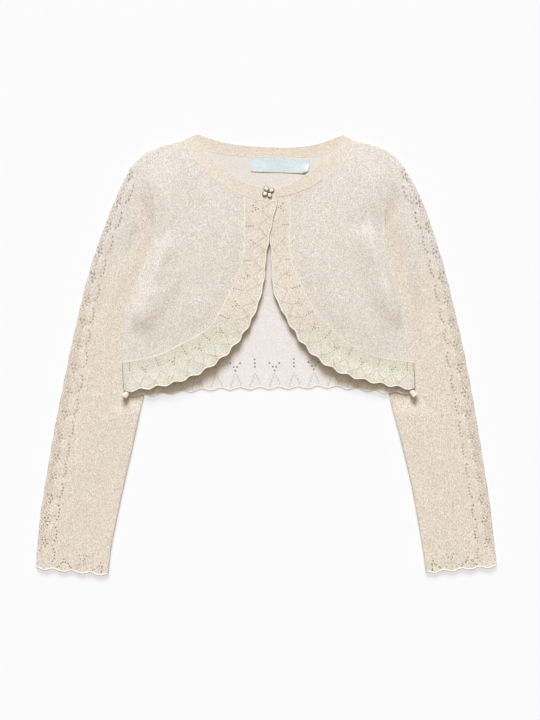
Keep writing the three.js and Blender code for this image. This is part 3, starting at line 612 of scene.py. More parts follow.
def openEyelets(piece, columns, eyelets, rim):
    # opens a round hole in each named cell of the grid: eyelets holds a radius in mm for each,
    # and the painted shade round the hole starts a rim in from the edge of the cell
    lip = 0.03
    widest = max(eyelets.values())
    selectOnly(piece)
    bpy.ops.object.mode_set(mode="EDIT")
    bpy.ops.mesh.select_mode(type="FACE")
    bpy.ops.mesh.select_all(action="DESELECT")
    shape = bmesh.from_edit_mesh(piece.data)
    shape.verts.layers.float.new("openwork")
    shape.faces.ensure_lookup_table()
    radii = list(eyelets.values())
    centres = KDTree(len(eyelets))
    for k, (i, j) in enumerate(eyelets):
        face = shape.faces[j * columns + i]
        centres.insert(face.calc_center_median(), k)
        face.select_set(True)
    centres.balance()
    bmesh.update_edit_mesh(piece.data)
    bpy.ops.mesh.inset(thickness=rim * mm, use_individual=True)
    shape = bmesh.from_edit_mesh(piece.data)
    openwork = shape.verts.layers.float["openwork"]
    # painted shade: the cell round each hole is marked for the dark eyelet colour
    for face in shape.faces:
        if face.select:
            radius = radii[centres.find(face.calc_center_median())[1]]
            for vertex in face.verts:
                vertex[openwork] = (radius / widest) ** 2
    bmesh.update_edit_mesh(piece.data)
    bpy.ops.mesh.inset(thickness=lip * mm, use_individual=True)
    bpy.ops.mesh.subdivide(number_cuts=1)
    shape = bmesh.from_edit_mesh(piece.data)
    openwork = shape.verts.layers.float["openwork"]
    middles = [v for v in shape.verts if len(v.link_faces) == 4 and all(f.select for f in v.link_faces)]
    for middle in middles:
        radius = radii[centres.find(middle.co)[1]]
        for vertex in {v for face in middle.link_faces for v in face.verts} - {middle}:
            vertex.co = middle.co + (vertex.co - middle.co).normalized() * radius * mm
            vertex[openwork] = (radius / widest) ** 2
    bmesh.update_edit_mesh(piece.data)
    bpy.ops.mesh.delete(type="FACE")
    bpy.ops.object.mode_set(mode="OBJECT")


def markTone(piece, share):
    # share gives 0 to 1 at a place in mm: how much of the look beside it the cloth has there
    beside = piece.data.attributes.new("beside", "FLOAT", "POINT")
    for vertex, value in zip(piece.data.vertices, beside.data):
        value.value = share(vertex.co / mm - planShift)


def applyModifier(piece, kind, settings):
    selectOnly(piece)
    modifier = piece.modifiers.new(kind.lower(), kind)
    for name, value in settings.items():
        setattr(modifier, name, value)
    bpy.ops.object.modifier_apply(modifier=modifier.name)


def mergeDoubles(piece):
    selectOnly(piece)
    bpy.ops.object.mode_set(mode="EDIT")
    bpy.ops.mesh.select_all(action="SELECT")
    bpy.ops.mesh.remove_doubles(threshold=0.02 * mm)
    bpy.ops.object.mode_set(mode="OBJECT")


def pointOutwards(piece):
    selectOnly(piece)
    bpy.ops.object.mode_set(mode="EDIT")
    bpy.ops.mesh.select_all(action="SELECT")
    bpy.ops.mesh.normals_make_consistent(inside=False)
    bpy.ops.object.mode_set(mode="OBJECT")


def thicken(piece, wall=cloth["wall"]):
    applyModifier(
        piece, "SOLIDIFY", {"thickness": wall * mm, "offset": 0, "use_even_offset": False}
    )


def shadeSmooth(piece):
    selectOnly(piece)
    bpy.ops.object.shade_smooth_by_angle(angle=math.radians(60))


def finishPiece(piece, material, node=None):
    shadeSmooth(piece)
    piece.data.materials.clear()
    piece.data.materials.append(material)
    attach(piece, "root")
    if node:
        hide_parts(node)


# Linked seams and rolled edges: length of a stitch, how thick the roll is, and how high it lies
linking = {"stitch": 1.5, "radius": 0.5, "swell": 0.25, "lift": 0.32, "around": 6}
rolling = {"stitch": 1.8, "radius": 0.75, "swell": 0.1, "lift": 0.15, "around": 8}


def yarnRoll(name, path, length, size, material):
    # a raised line of linked stitches along a path, each stitch a small swelling
    columns = max(round(length / size["stitch"]), 2) * 4
    points = [path(i / columns) for i in range(columns + 1)]

    def place(i, j):
        along = points[min(i + 1, columns)] - points[max(i - 1, 0)]
        aside = Vector((along.y, -along.x, 0)).normalized()
        angle = 2 * math.pi * j / size["around"]
        swelling = 1 + size["swell"] * math.cos(math.pi * i / 2)
        ends = math.sqrt(max(1 - abs(2 * i / columns - 1) ** 60, 0))
        radius = size["radius"] * swelling * ends
        up = Vector((0, 0, math.sin(angle) * radius + size["lift"]))
        return points[i] + aside * math.cos(angle) * radius + up

    roll = newCloth(name, columns, size["around"], place, lambda i, j: (i * 0.4, j * 0.5))
    mergeDoubles(roll)
    pointOutwards(roll)
    finishPiece(roll, material)


def backHeight(x, y):
    # the back lies on the floor, and at the sides on the sleeves
    half = halves["right"] if x < 0 else halves["left"]
    past = half["sign"] * (x - xAtHeight(half["sleeve"], y, 2, 3))
    over = smoothStep(-cloth["liftFrom"], -cloth["liftTo"], past)
    below = 1 - smoothStep(cloth["backDropFrom"], half["side"][0][1], y)
    return cloth["floorMid"] + (cloth["bodyOverSleeve"] - cloth["floorMid"]) * over * below


fronting = {
    "down": 84,
    "across": 52,
    "length": 220,
    "width": 110,
    "flankPart": 10,  # rows of the side's table above the edging
    "puff": 1.6,
    "shoulderTurn": 3.0,
    "shoulderDrop": 0.8,
    "flankTurn": 5.0,
    "flankDrop": 0.85,
    # ends x, y and x, y, width to the viewer's left and right, and rise
    "folds": [
        (-106, 129, -128, 77, 6, 14, 4.2),
        (-128, 77, -144, 34, 6, 15, 4.1),
        (-96, 92, -136, 30, 14, 10, 2.0),
        (-122, 205, -106, 132, 11, 11, 1.5),
        (-60, 160, -74, 92, 18, 18, 1.0),
        (-84, 70, -70, 30, 9, 9, 0.9),
        (111, 138, 128, 92, 12, 6, 4.4),
        (128, 92, 148, 36, 14, 6, 4.5),
        (104, 120, 134, 44, 10, 14, 1.6),
        (118, 206, 108, 150, 11, 11, 1.4),
        (62, 150, 70, 80, 18, 18, 0.9),
        (84, 74, 74, 32, 9, 9, 0.8),
    ],
}


def flankDropAt(y):
    # the body's edge stands off the sleeve below the shoulder, and lies smooth above
    return fronting["flankDrop"] * smoothStep(198, 158, y)


def frontPiece(name, half):
    neckEnd = crossing(half["neck"], 0, half["edging"][0][0])
    shoulderPlan = curveAlong(half["shoulder"], (0, 1, None))

    def shoulder(v):
        point = shoulderPlan(v)
        point.z = backHeight(point.x, point.y) + cloth["layerStep"]
        return point

    neck = curveAlong(half["neck"], (0, 1, 2), 0, neckEnd)
    seam = curveAlong(half["edging"], (0, 1, 2))
    flank = curveAlong(half["side"], (0, 1, 2), 0, fronting["flankPart"])
    cut = patch(shoulder, seam, neck, flank)
    downStops = gradedStops(fronting["down"], fronting["length"], nearStart=(0.4, 1.2, 2.2))
    acrossStops = gradedStops(fronting["across"], fronting["width"], nearEnd=(0.3, 1, 1.8, 3, 4.2))

    def place(i, j):
        u, v = downStops[j], acrossStops[i]
        point = cut(u, v)
        # puffed out in the middle, with soft folds that die out at the seams
        away = smoothStep(0, 0.2, u) * smoothStep(1, 0.85, u) * smoothStep(0, 0.25, v)
        point.z += away * smoothStep(1, 0.8, v) * fronting["puff"]
        free = smoothStep(0, 0.12, u) * smoothStep(1, 0.93, u) * smoothStep(0, 0.1, v)
        point.z += free * smoothStep(1, 0.95, v) * foldLift(fronting["folds"], point.x, point.y)
        point.z -= max(
            turnOver(u * fronting["length"], fronting["shoulderTurn"], fronting["shoulderDrop"]),
            turnOver((1 - v) * fronting["width"], fronting["flankTurn"], flankDropAt(point.y)),
        )
        return point

    def flat(i, j):
        point = cut(downStops[j], acrossStops[i])
        return point.x, point.y

    piece = newCloth(name, len(acrossStops) - 1, len(downStops) - 1, place, flat)
    faceUp(piece)
    thicken(piece)
    return piece


for name, half in halves.items():
    front = frontPiece(name + "FrontKnit", half)
    finishPiece(front, frontCloth, name + "_front_panel")
print("fronts")

edging = {
    "columns": 256,
    "rows": 23,
    "stitch": 1.35,
    "wall": 1.0,
    "scallops": 16,
    "depth": 2.7,
    "straightDepth": 0.9,
    "wave": 0.35,
    "hemStand": 3.4,
    "topRun": 0.07,
    "hole": 0.3,
    "pinhole": 0.15,
    "rim": 0.08,
}


def edgingSurface(half):
    pace, total = paceAlong(half["edging"], (3, 4))
    neckFrom = crossing(half["neck"], 0, half["edging"][0][0])
    neckTop = curveAlong(half["neck"], (0, 1, 2), neckFrom)
    straightSeam = pointAt(half["edging"], (0, 1, 2), 0)
    straightOuter = pointAt(half["edging"], (3, 4, 5), 0)

    def surface(t, across):
        position = pace(t)
        seam = pointAt(half["edging"], (0, 1, 2), position)
        outer = pointAt(half["edging"], (3, 4, 5), position)
        point = seam.lerp(outer, across)
        straight = straightSeam.lerp(straightOuter, across)
        point += (neckTop(across) - straight) * (1 - smoothStep(0, edging["topRun"], t))
        outward = outer - seam
        outward.z = 0
        outward.normalize()
        edge = smoothStep(0.5, 1, across)
        curved = smoothStep(0.36, 0.55, t)
        depth = edging["straightDepth"] + (edging["depth"] - edging["straightDepth"]) * curved
        point += outward * edge * depth * (lobe(t * edging["scallops"]) - 0.5)
        stand = smoothStep(0.45, 0.68, t) * smoothStep(1, 0.975, t)
        point.z += edging["hemStand"] * smoothStep(0.3, 1, across) * stand
        phase = math.cos(2 * math.pi * t * edging["scallops"])
        point.z += edge * edging["wave"] * smoothStep(0.4, 0.6, t) * phase
        return point

    return surface, total


def edgingEyelets():
    # pointelle charted on two scallops: a ladder over one lobe and a small V over the next,
    # and from each two fine legs that open out to the notches
    eyelets = {}
    perLobe = edging["columns"] // edging["scallops"]
    for k in range(edging["scallops"]):
        middle = k * perLobe + perLobe // 2
        if k % 2:
            marks = [(0, 1), (0, 3), (0, 5), (0, 7)]
            apex = 11
        else:
            marks = [(-3, 6), (-1, 8), (1, 8), (3, 6), (0, 10)]
            apex = 12
        for across, row in marks:
            eyelets[middle + across, row] = edging["hole"]
        for step in range(1, edging["rows"] - 1 - apex):
            for across in (-step, step):
                eyelets[middle + across, apex + step] = edging["pinhole"]
    return eyelets


for name, half in halves.items():
    surface, total = edgingSurface(half)
    columns, rows = edging["columns"], edging["rows"]
    strip = newCloth(
        name + "PointelleEdging", columns, rows,
        lambda i, j: surface(i / columns, j / rows),
        lambda i, j: (i * edging["stitch"], j * edging["stitch"]),
    )
    openEyelets(strip, columns, edgingEyelets(), edging["rim"])
    faceUp(strip)
    markTone(strip, lambda spot: smoothStep(70, 20, spot.y))
    thicken(strip, edging["wall"])
    finishPiece(strip, edgingCloth, name + "_front_edging")
    seam = curveAlong(half["edging"], (0, 1, 2))
    yarnRoll(name + "EdgingLinking", seam, total * 0.8, linking, linkCloth)
    yarnRoll(
        name + "EdgingRoll", lambda t: surface(t, 1), total, rolling, linkCloth
    )
    # painted shade: a dark yarn line down the edging's side edge stands in for the seam's shade
    yarnRoll(
        name + "SideShadeLine", lambda t: surface(1, t), 33, {**linking, "radius": 0.4}, paintedShadeLineCloth,
    )
print("edgings")

band = {"columns": 90, "rows": 9, "depth": 12}


def bandPiece(name, sections):
    pace, total = paceAlong(sections, (0, 1))
    columns, rows = band["columns"], band["rows"]

    def place(i, j):
        seam, free = (pointAt(sections, edge, pace(i / columns)) for edge in ((0, 1, 2), (3, 4, 5)))
        return seam.lerp(free, j / rows)

    def flat(i, j):
        return i / columns * total, j / rows * band["depth"]

    piece = newCloth(name, columns, rows, place, flat)
    faceUp(piece)
    thicken(piece)
    return piece, total


for name, half in halves.items():
    piece, total = bandPiece(name + "CloseBand", half["neck"])
    finishPiece(piece, bandCloth, name + "_neckband")
piece, total = bandPiece("backCloseBand", backNeck)
finishPiece(piece, backBandCloth, "back_neckband")

rightSeam = curveAlong(rightNeck, (0, 1, 2))
leftSeam = curveAlong(leftNeck, (0, 1, 2))
backSeam = curveAlong(backNeck, (0, 1, 2))
yarnRoll("rightNeckLinking", rightSeam, 130, linking, linkCloth)
yarnRoll("leftNeckLinking", lambda t: leftSeam(t * 0.45), 58, linking, linkCloth)
paintedShadeLining = {**linking, "radius": 0.35}  # nearer the opening the left seam is a dark yarn line, painted shade in the seam's groove
yarnRoll(
    "leftNeckShadeLine", lambda t: leftSeam(0.45 + t * 0.5), 60, paintedShadeLining, paintedShadeLineCloth
)
yarnRoll("backNeckLinking", backSeam, 190, linking, linkCloth)
neckRolling = {**rolling, "radius": 0.65, "lift": 0}
for name, sections in (("right", rightNeck), ("left", leftNeck), ("back", backNeck)):
    edge = curveAlong(sections, (3, 4, 5))
    yarnRoll(name + "NeckEdge", edge, 130, neckRolling, bandCloth)
print("neckbands")

backing = {
    "across": 180,
    "down": 60,
    "length": 245,
    "width": 300,
    "sideTurn": 5,
    "sideRise": 0.75,
    "hemRows": 16,
    "hemBand": 30,
    "shoulderPart": 0.2,  # share of the top edge that each shoulder takes
    "scallops": 15,
    "depth": 2.6,
    "chartShift": 3,
    "legRow": 8,
    "legSteps": 7,
    "hole": 0.34,
    "pinhole": 0.17,
    "rim": 0.26,
}


def backEyelets(plainRows, lastRow):
    # the same pointelle as on the edging, charted across the hem band
    columns = backing["across"]
    perLobe = columns // backing["scallops"]
    eyelets = {}
    for k in range(backing["scallops"]):
        middle = k * perLobe + perLobe // 2 + backing["chartShift"]
        if k % 2:
            marks = [(-3, 2), (-1, 4), (1, 4), (3, 2), (0, 6)]
        else:
            marks = [(0, 0), (0, 2), (0, 4)]
        for across, row in marks:
            eyelets[middle + across, plainRows + row] = backing["hole"]
        for step in range(backing["legSteps"]):
            for across in (-((step + 1) // 2), (step + 1) // 2):
                eyelets[middle + across, plainRows + backing["legRow"] + step] = backing["pinhole"]
    return {(i, j): radius for (i, j), radius in eyelets.items() if i < columns and j < lastRow}


def backPiece():
    right, left = halves["right"], halves["left"]
    rightPlan = curveAlong(rightShoulder, (0, 1, None))
    leftPlan = curveAlong(leftShoulder, (0, 1, None))
    neckPlan = curveAlong(backNeck, (0, 1, None))
    part = backing["shoulderPart"]

    def top(v):
        if v < part:
            return rightPlan(1 - v / part)
        if v > 1 - part:
            return leftPlan(1 - (1 - v) / part)
        return neckPlan((v - part) / (1 - 2 * part))

    cut = patch(
        top, curveAlong(hemLine, (0, 1, None)),
        curveAlong(right["side"], (0, 1, None)), curveAlong(left["side"], (0, 1, None)),
    )
    hemStart = 1 - backing["hemBand"] / backing["length"]
    plainRows, hemRows = backing["down"], backing["hemRows"]
    downStops = [hemStart * i / plainRows for i in range(plainRows)]
    downStops += [hemStart + (1 - hemStart) * i / hemRows for i in range(hemRows + 1)]
    columns, rows = backing["across"], len(downStops) - 1

    def surface(u, v):
        point = cut(u, v)
        aside = min(v, 1 - v) * backing["width"]
        point.z = backHeight(point.x, point.y)
        point.z += turnOver(aside, backing["sideTurn"], backing["sideRise"]) * smoothStep(0.15, 0.3, u)
        point.y -= smoothStep(0.93, 1, u) * backing["depth"] * (lobe(v * backing["scallops"]) - 0.5)
        return point

    def place(i, j):
        return surface(downStops[j], i / columns)

    def flat(i, j):
        point = cut(downStops[j], i / columns)
        return point.x, point.y

    piece = newCloth("backKnit", columns, rows, place, flat)
    openEyelets(piece, columns, backEyelets(plainRows, rows - 1), backing["rim"])
    faceUp(piece)
    # painted shade: the back takes the darker inside look higher up, where the fronts cover it
    markTone(piece, lambda spot: smoothStep(40, 85, spot.y))
    thicken(piece)
    return piece, surface


back, backSurface = backPiece()
finishPiece(back, insideCloth, "back_panel")
yarnRoll("backHemRoll", lambda t: backSurface(1, t), 330, rolling, insideCloth)
print("back")

sleeving = {
    "wall": 1.0,
    "seamShare": 0.7,  # share of the armhole that is sewn to the front's side
    "cell": 1.9,
    "laceFrom": -6,
    "laceTo": 10,
    "plainTop": 32,
    "plainUnder": 20,
    "foldSteps": 3,
    "rowsPerRepeat": 13,
    "cuffFrom": 0.9,
    "cuffLobes": 4,
    "cuffDepth": 2.6,
    "hole": 0.5,
    "pinhole": 0.36,
    "rim": 0.3,
    # raised leaf between two crosses: how far in it lies, half its width, and its height
    "leafIn": 3.6,
    "leafHalf": 5.2,
    "leafRise": 0.55,
    # fine holes on every second cell round the outer fold
    "mesh": 0.3,
    "meshFrom": -5,
    "meshTo": 1,
    "edgeBulge": 0.6,
    "leadTop": 5.5,
    "leadLow": 9.5,
    # height of each lace cross down the outer edge, and of its first row over that
    "marks": [200, 170.3, 141.9, 114.1, 86.2, 59.2, 35.1, 11.3, -14, -40.4, -65.7, -90.9, -113.5, -135,
              -157.7, -183, -207],
    "markOver": 2.4,
    # ends x, y and x, y, width to the viewer's left and right, and rise
    "folds": [
        (-138, 140, -150, 96, 9, 9, -3.2),
        (-168, 120, -184, 40, 9, 9, -0.9),
        (-196, -60, -206, -150, 11, 11, 0.6),
        (-168, -84, -182, -190, 8, 8, -0.6),
        (155, 150, 168, 62, 7, 7, 1.8),
        (172, 116, 188, 34, 9, 9, -0.9),
        (196, -56, 206, -140, 11, 11, 0.6),
        (172, -90, 186, -190, 8, 8, -0.6),
    ],
}


def sleeveRise(half, x, y):
    # how high the top layer lies: low where the body covers it, higher where it is free
    beside = half["sign"] * (x - xAtHeight(half["side"], y))
    below = cloth["hemLevel"] - y
    clear = smoothStep(cloth["clearFrom"], cloth["clearTo"], max(beside, below))
    tucked = 1 - smoothStep(cloth["underarmFrom"], cloth["underarmTo"], y)
    free = 1 - tucked * (1 - clear)
    folded = cloth["freeRise"] + foldLift(sleeving["folds"], x, y) * clear
    return cloth["tuckedRise"] + (folded - cloth["tuckedRise"]) * free


def sleevePiece(name, half):
    table = half["sleeve"]
    pace, total = paceAlong(table, (0, 1))
    share = sleeving["seamShare"]
    seamRows = 2  # rows of the side's table beside the armhole
    seamPlan = curveAlong(half["side"], (0, 1, None), 0, seamRows)

    def edgesAt(u):
        return [pointAt(table, edge, pace(u)) for edge in ((0, 1, None), (2, 3, None))]

    ends = edgesAt(0)

    def armhole(across):
        if across < share:
            return seamPlan(across / share)
        return seamPlan(1).lerp(ends[1], (across - share) / (1 - share))

    def placeAt(u, across):
        outer, inner = edgesAt(u)
        bow = armhole(min(max(across, 0), 1)) - ends[0].lerp(ends[1], across)
        return outer.lerp(inner, across) + bow * (1 - smoothStep(0, 0.12, u))

    # where each lace cross starts, as a share of the sleeve's length
    markStops = []
    for mark in sleeving["marks"]:
        low, high = 0, 1
        for step in range(24):
            middle = (low + high) / 2
            if edgesAt(middle)[0].y > mark + sleeving["markOver"]:
                low = middle
            else:
                high = middle
        markStops.append(low)

    # rows: the same number to each lace repeat, and as many as fit above and below them
    rowStops = []
    for start, end in zip([0] + markStops, markStops + [1]):
        count = sleeving["rowsPerRepeat"]
        if start in (0, markStops[-1]):
            count = max(1, round((end - start) * total / sleeving["cell"]))
        rowStops += [start + (end - start) * k / count for k in range(count)]
    rowStops.append(1)
    rows = len(rowStops) - 1

    rings = []
    leadTop, leadLow = sleeving["leadTop"], sleeving["leadLow"]
    for u in rowStops:
        outer, inner = edgesAt(u)
        sides = [placeAt(u, 0), placeAt(u, 1)]
        past = [stop for stop in markStops if stop <= u]
        ahead = [stop for stop in markStops if stop > u]
        rings.append({
            "u": u,
            "width": (outer - inner).length,
            "radii": [sleeveRise(half, side.x, side.y) / 2 for side in sides],
            "lead": leadTop + (leadLow - leadTop) * smoothStep(0.1, 0.6, u),
            "between": (u - past[-1]) / (ahead[0] - past[-1]) if past and ahead else 0,
        })

    def leafAt(ring, s):
        # dome of the leaf between two crosses, steep at its rim
        if ring["between"] == 0:
            return 0
        aside = (s - ring["lead"] - sleeving["leafIn"]) / sleeving["leafHalf"]
        down = (ring["between"] - 0.52) / 0.38
        return math.sqrt(max(1 - aside * aside - down * down, 0))

    def ringPoint(ring, s):
        # s runs round the tube in mm: 0 at the outer fold, up over the top, then back underneath
        width = ring["width"]
        outerRadius, innerRadius = ring["radii"]
        skin = cloth["wall"] / 2
        outerArc = math.pi * outerRadius / 2
        innerArc = math.pi * innerRadius / 2
        flatRun = width - 2 * skin - outerRadius - innerRadius
        reach = outerArc + flatRun + innerArc
        top = s >= 0
        s = abs(s)
        if s < outerArc:
            angle = s / outerRadius
            inwards = skin + outerRadius * (1 - math.cos(angle))
            radius = outerRadius
        elif s < outerArc + flatRun:
            inwards = skin + outerRadius + s - outerArc
            radius = None
        else:
            angle = min((reach - s) / innerRadius, math.pi / 2)
            inwards = width - skin - innerRadius * (1 - math.cos(angle))
            radius = innerRadius
        along = inwards / width
        point = placeAt(ring["u"], along)
        if radius is None:
            point.z = cloth["floorMid"] + (sleeveRise(half, point.x, point.y) if top else 0)
        else:
            lift = radius * math.sin(angle)
            point.z = cloth["floorMid"] + radius + (lift if top else -lift)
        if top:
            # up to meet the front at the armhole, and the leaf lace down the outer fold
            joined = (1 - smoothStep(0, 0.06, ring["u"])) * smoothStep(0.95, 0.7, along)
            seamHeight = rowAt(half["side"], min(along / share, 1) * seamRows)[2]
            seamHeight -= flankDropAt(point.y)
            point.z += (seamHeight - point.z) * joined * smoothStep(0, 0.1, along)
            point.z += sleeving["leafRise"] * leafAt(ring, s)
        bulge = sleeving["edgeBulge"] * math.sin(math.pi * ring["between"]) * math.exp(-((s / 4) ** 2))
        point.x += half["sign"] * bulge
        return point, inwards, reach

    laceSteps = range(sleeving["laceFrom"], sleeving["laceTo"] + 1)
    plainTop, plainUnder, foldSteps = (sleeving[key] for key in ("plainTop", "plainUnder", "foldSteps"))

    def ringStops(ring, reach):
        # lace columns first, then the plain top, the inner fold and the underside
        lace = [ring["lead"] + (k - 0.5) * sleeving["cell"] for k in laceSteps]
        innerArc = math.pi * ring["radii"][1] / 2
        foldStart = reach - innerArc
        top = [lace[-1] + (foldStart - lace[-1]) * k / plainTop for k in range(1, plainTop)]
        fold = [reach - innerArc * (1 - k / foldSteps) for k in range(foldSteps)]
        foldUnder = [reach + innerArc * k / foldSteps for k in range(foldSteps + 1)]
        underStart = foldUnder[-1]
        underEnd = 2 * reach + lace[0]
        under = [underStart + (underEnd - underStart) * k / plainUnder for k in range(1, plainUnder + 1)]
        return lace + top + fold + foldUnder + under

    # for each ring, each point with how far in from the outer fold it lies and how far round
    sections = []
    for ring in rings:
        reach = ringPoint(ring, 0)[2]
        points = []
        for s in ringStops(ring, reach):
            point, inwards, _ = ringPoint(ring, s if s <= reach else s - 2 * reach)
            points.append((point, inwards, s))
        sections.append(points)
    columns = len(sections[0]) - 1

    def place(i, j):
        point, inwards, _ = sections[j][i]
        u, width = rings[j]["u"], rings[j]["width"]
        if u <= sleeving["cuffFrom"]:
            return point
        # the cuff's scallops, on both layers
        notch = (1 - lobe(inwards / width * sleeving["cuffLobes"])) * sleeving["cuffDepth"]
        ahead = placeAt(u - notch * smoothStep(0.94, 1, u) / total, inwards / width)
        return Vector((ahead.x, ahead.y, point.z))

    def flat(i, j):
        return sections[j][i][2], rings[j]["u"] * total

    piece = newCloth(name, columns, rows, place, flat)

    laceBase = -sleeving["laceFrom"]
    eyelets = {
        (i, j): sleeving["mesh"]
        for i in range(laceBase + sleeving["meshFrom"], laceBase + sleeving["meshTo"])
        for j in range(4, rows - 14)
        if (i + j) % 2 == 0
    }
    rowBase = [min(range(rows), key=lambda j: abs(rowStops[j] - stop)) for stop in markStops]
    cross = [(-2, -2), (0, -2), (-1, 0), (1, 0), (0, 2)]
    arm = [(-2, 3), (-3, 5), (-4, 7)]
    string = [(4, 3), (5, 5), (5, 7), (5, 9), (4, 11)]
    for base in rowBase:
        further = 1 if rings[base]["lead"] > 8.5 else 0
        chart = [(column, row, "hole") for column, row in cross]
        chart += [(column, row, "pinhole") for column, row in arm]
        chart += [(column + further, row, "hole") for column, row in string]
        for column, row, kind in chart:
            i, j = laceBase + column, base + row
            if 0 <= i < columns and 1 <= j < rows - 2:
                eyelets[i, j] = sleeving[kind]

    def cellAt(across, up):
        # the top cell nearest to a place in mm in from the outer fold and up from the cuff
        j = min(range(rows), key=lambda k: abs((1 - rowStops[k]) * total - up))
        tops = [k for k in range(columns // 2 + 8) if sections[j][k][2] > 0]
        return min(tops, key=lambda k: abs(sections[j][k][1] - across)), j

    width = rings[-1]["width"]
    for k in range(1, sleeving["cuffLobes"]):
        middle = (k + 0.5) / sleeving["cuffLobes"] * width
        if k % 2:
            marks = [(2 * step, 15 - 3 * step, "hole") for step in range(5)]
        else:
            marks = [(4, 21, "hole"), (2, 18, "hole"), (0, 15, "hole")]
            marks += [(2 * step, 15 - 3 * step, "pinhole") for step in range(1, 4)]
        for across, up, kind in marks:
            for side in (-1, 1):
                eyelets[cellAt(middle + side * across, up)] = sleeving[kind]
    openEyelets(piece, columns, eyelets, sleeving["rim"])
    mergeDoubles(piece)
    pointOutwards(piece)

    def bodyTone(spot):
        # the body's tone runs on over the shoulder, but in the armhole's hollow the sleeve's warmer tone
        # stays as painted shade
        gap = half["sign"] * (spot.x - xAtHeight(half["side"], spot.y))
        paintedHollowShade = smoothStep(20, 13, gap) * smoothStep(180, 150, spot.y)
        return smoothStep(30, 130, spot.y) * (1 - paintedHollowShade)

    markTone(piece, bodyTone)
    thicken(piece, sleeving["wall"])
    return piece, [place(i, rows) for i in range(columns + 1)]


cuffRolling = {**rolling, "radius": 1.0}
for name, half in halves.items():
    sleeve, cuff = sleevePiece(name + "LaceSleeve", half)
    finishPiece(sleeve, sleeveCloth, name + "_sleeve")

    def cuffEdge(t):
        spot = t * (len(cuff) - 1)
        index = min(int(spot), len(cuff) - 2)
        return cuff[index].lerp(cuff[index + 1], spot - index)

    yarnRoll(name + "CuffRoll", cuffEdge, 170, cuffRolling, linkCloth)
print("sleeves")

# Hem corners, where the knit rolls over on itself
curling = {
    "columns": 10,
    "turns": 22,
    "wall": 0.9,
    "radius": 1.9,
    "tipRadius": 4.0,
    "tighten": 0.25,
    "fromAngle": -1.2,
    "angle": 5.4,
    "height": 4.2,
    "rise": 6.0,
    # where the curl starts and where its tip lies, x and y
    "right": ((-150.0, -39.0), (-156.0, -45.5)),
    "left": ((157.0, -37.5), (163.5, -44.5)),
}


def cornerCurl(name, half):
    inner, tip = (Vector((*spot, 0)) for spot in curling[name])
    along = (tip - inner).normalized()
    aside = Vector((-along.y, along.x, 0)) * half["sign"]

    def place(i, j):
        part = i / curling["columns"]
        turned = j / curling["turns"]
        angle = curling["fromAngle"] + curling["angle"] * turned
        radius = curling["radius"] + (curling["tipRadius"] - curling["radius"]) * part
        radius *= 1 - curling["tighten"] * turned
        centre = inner.lerp(tip, part) + Vector((0, 0, curling["height"] + curling["rise"] * part))
        return centre + aside * math.cos(angle) * radius + Vector((0, 0, math.sin(angle) * radius))

    curl = newCloth(
        name + "CornerCurl", curling["columns"], curling["turns"], place, lambda i, j: (i, j * 0.5)
    )
    thicken(curl, curling["wall"])
    return curl


for name, half in halves.items():
    curl = cornerCurl(name, half)
    finishPiece(curl, edgingCloth)
print("corners")

label = {
    "columns": 56,
    "rows": 14,
    "x": 15.2,
    "y": 209.3,
    "width": 64,
    "depth": 15.6,
    "turn": -0.034,
    "height": 1.75,
    "wall": 0.5,
    "wave": 0.25,
    "curl": 4.2,  # how far its free corner stands up
    "rib": 0.9,
    "warp": 0.6,
}


def satinMaterial(name):
    # Woven polyester satin: pale blue, with a sheen that runs along its fine ribs
    material = newMaterial(name)
    sheet = addNode(material, "ShaderNodeUVMap", {"uv_map": "knit"}).outputs[0]
    split = addNode(material, "ShaderNodeSeparateXYZ", links={0: sheet})
    ribTurns = maths(material, "MULTIPLY", split.outputs[1], 2 * math.pi / label["rib"])
    rib = maths(material, "SINE", ribTurns)
    warpTurns = maths(material, "MULTIPLY", split.outputs[0], 2 * math.pi / label["warp"])
    warp = maths(material, "SINE", warpTurns)
    weave = maths(material, "MULTIPLY_ADD", warp, 0.4, rib)
    place = addNode(material, "ShaderNodeTexCoord").outputs["Object"]
    worn = addNode(material, "ShaderNodeTexNoise", {"Scale": 400, "Detail": 2}, {"Vector": place}).outputs[0]
    colour = ramp(material, worn, [(0.3, linear("#bfced4")), (0.7, linear("#d3e0e5"))])
    bump = addNode(material, "ShaderNodeBump", {"Strength": 0.25, "Distance": 0.0002}, {"Height": weave})
    shader = addNode(
        material, "ShaderNodeBsdfPrincipled",
        {"Roughness": 0.42, "IOR": 1.5, "Sheen Weight": 0.3, "Anisotropic": 0.5},
        {"Base Color": colour, "Normal": bump.outputs[0]},
    )
    addNode(material, "ShaderNodeOutputMaterial", links={0: shader.outputs[0]})
    return material


def labelPlace(i, j):
    u, v = j / label["rows"], i / label["columns"]
    across, down = (v - 0.5) * label["width"], (0.5 - u) * label["depth"]
    curled = smoothStep(0.86, 1, v) * smoothStep(0.35, 1, u)
    x = label["x"] + across * math.cos(label["turn"]) - down * math.sin(label["turn"])
    y = label["y"] + across * math.sin(label["turn"]) + down * math.cos(label["turn"])
    z = label["height"] + label["wave"] * math.sin(v * 9) * smoothStep(0.2, 1, u)
    return Vector((x, y, z)) + Vector((-1.2, 1.5, label["curl"])) * curled


wovenLabel = newCloth(
    "wovenNeckLabel", label["columns"], label["rows"], labelPlace, lambda i, j: (i * 1.14, j * 1.07)
)
faceUp(wovenLabel)
thicken(wovenLabel, label["wall"])
finishPiece(wovenLabel, satinMaterial("wovenSatin"), "neck_label")
print("label")

button = {
    "x": 2,
    "y": 179.6,
    "seat": 7.82,
    "petals": [(-2.1, 3.7), (3.8, 1.8), (-3.4, -2.0), (1.7, -3.6)],
    "along": 3.1,
    "across": 2.5,
    "height": 1.6,
    "floor": 0.7,
    "rim": 0.4,
    "hub": 2.3,
    "dome": 1.0,
    "bed": 0.05,
}


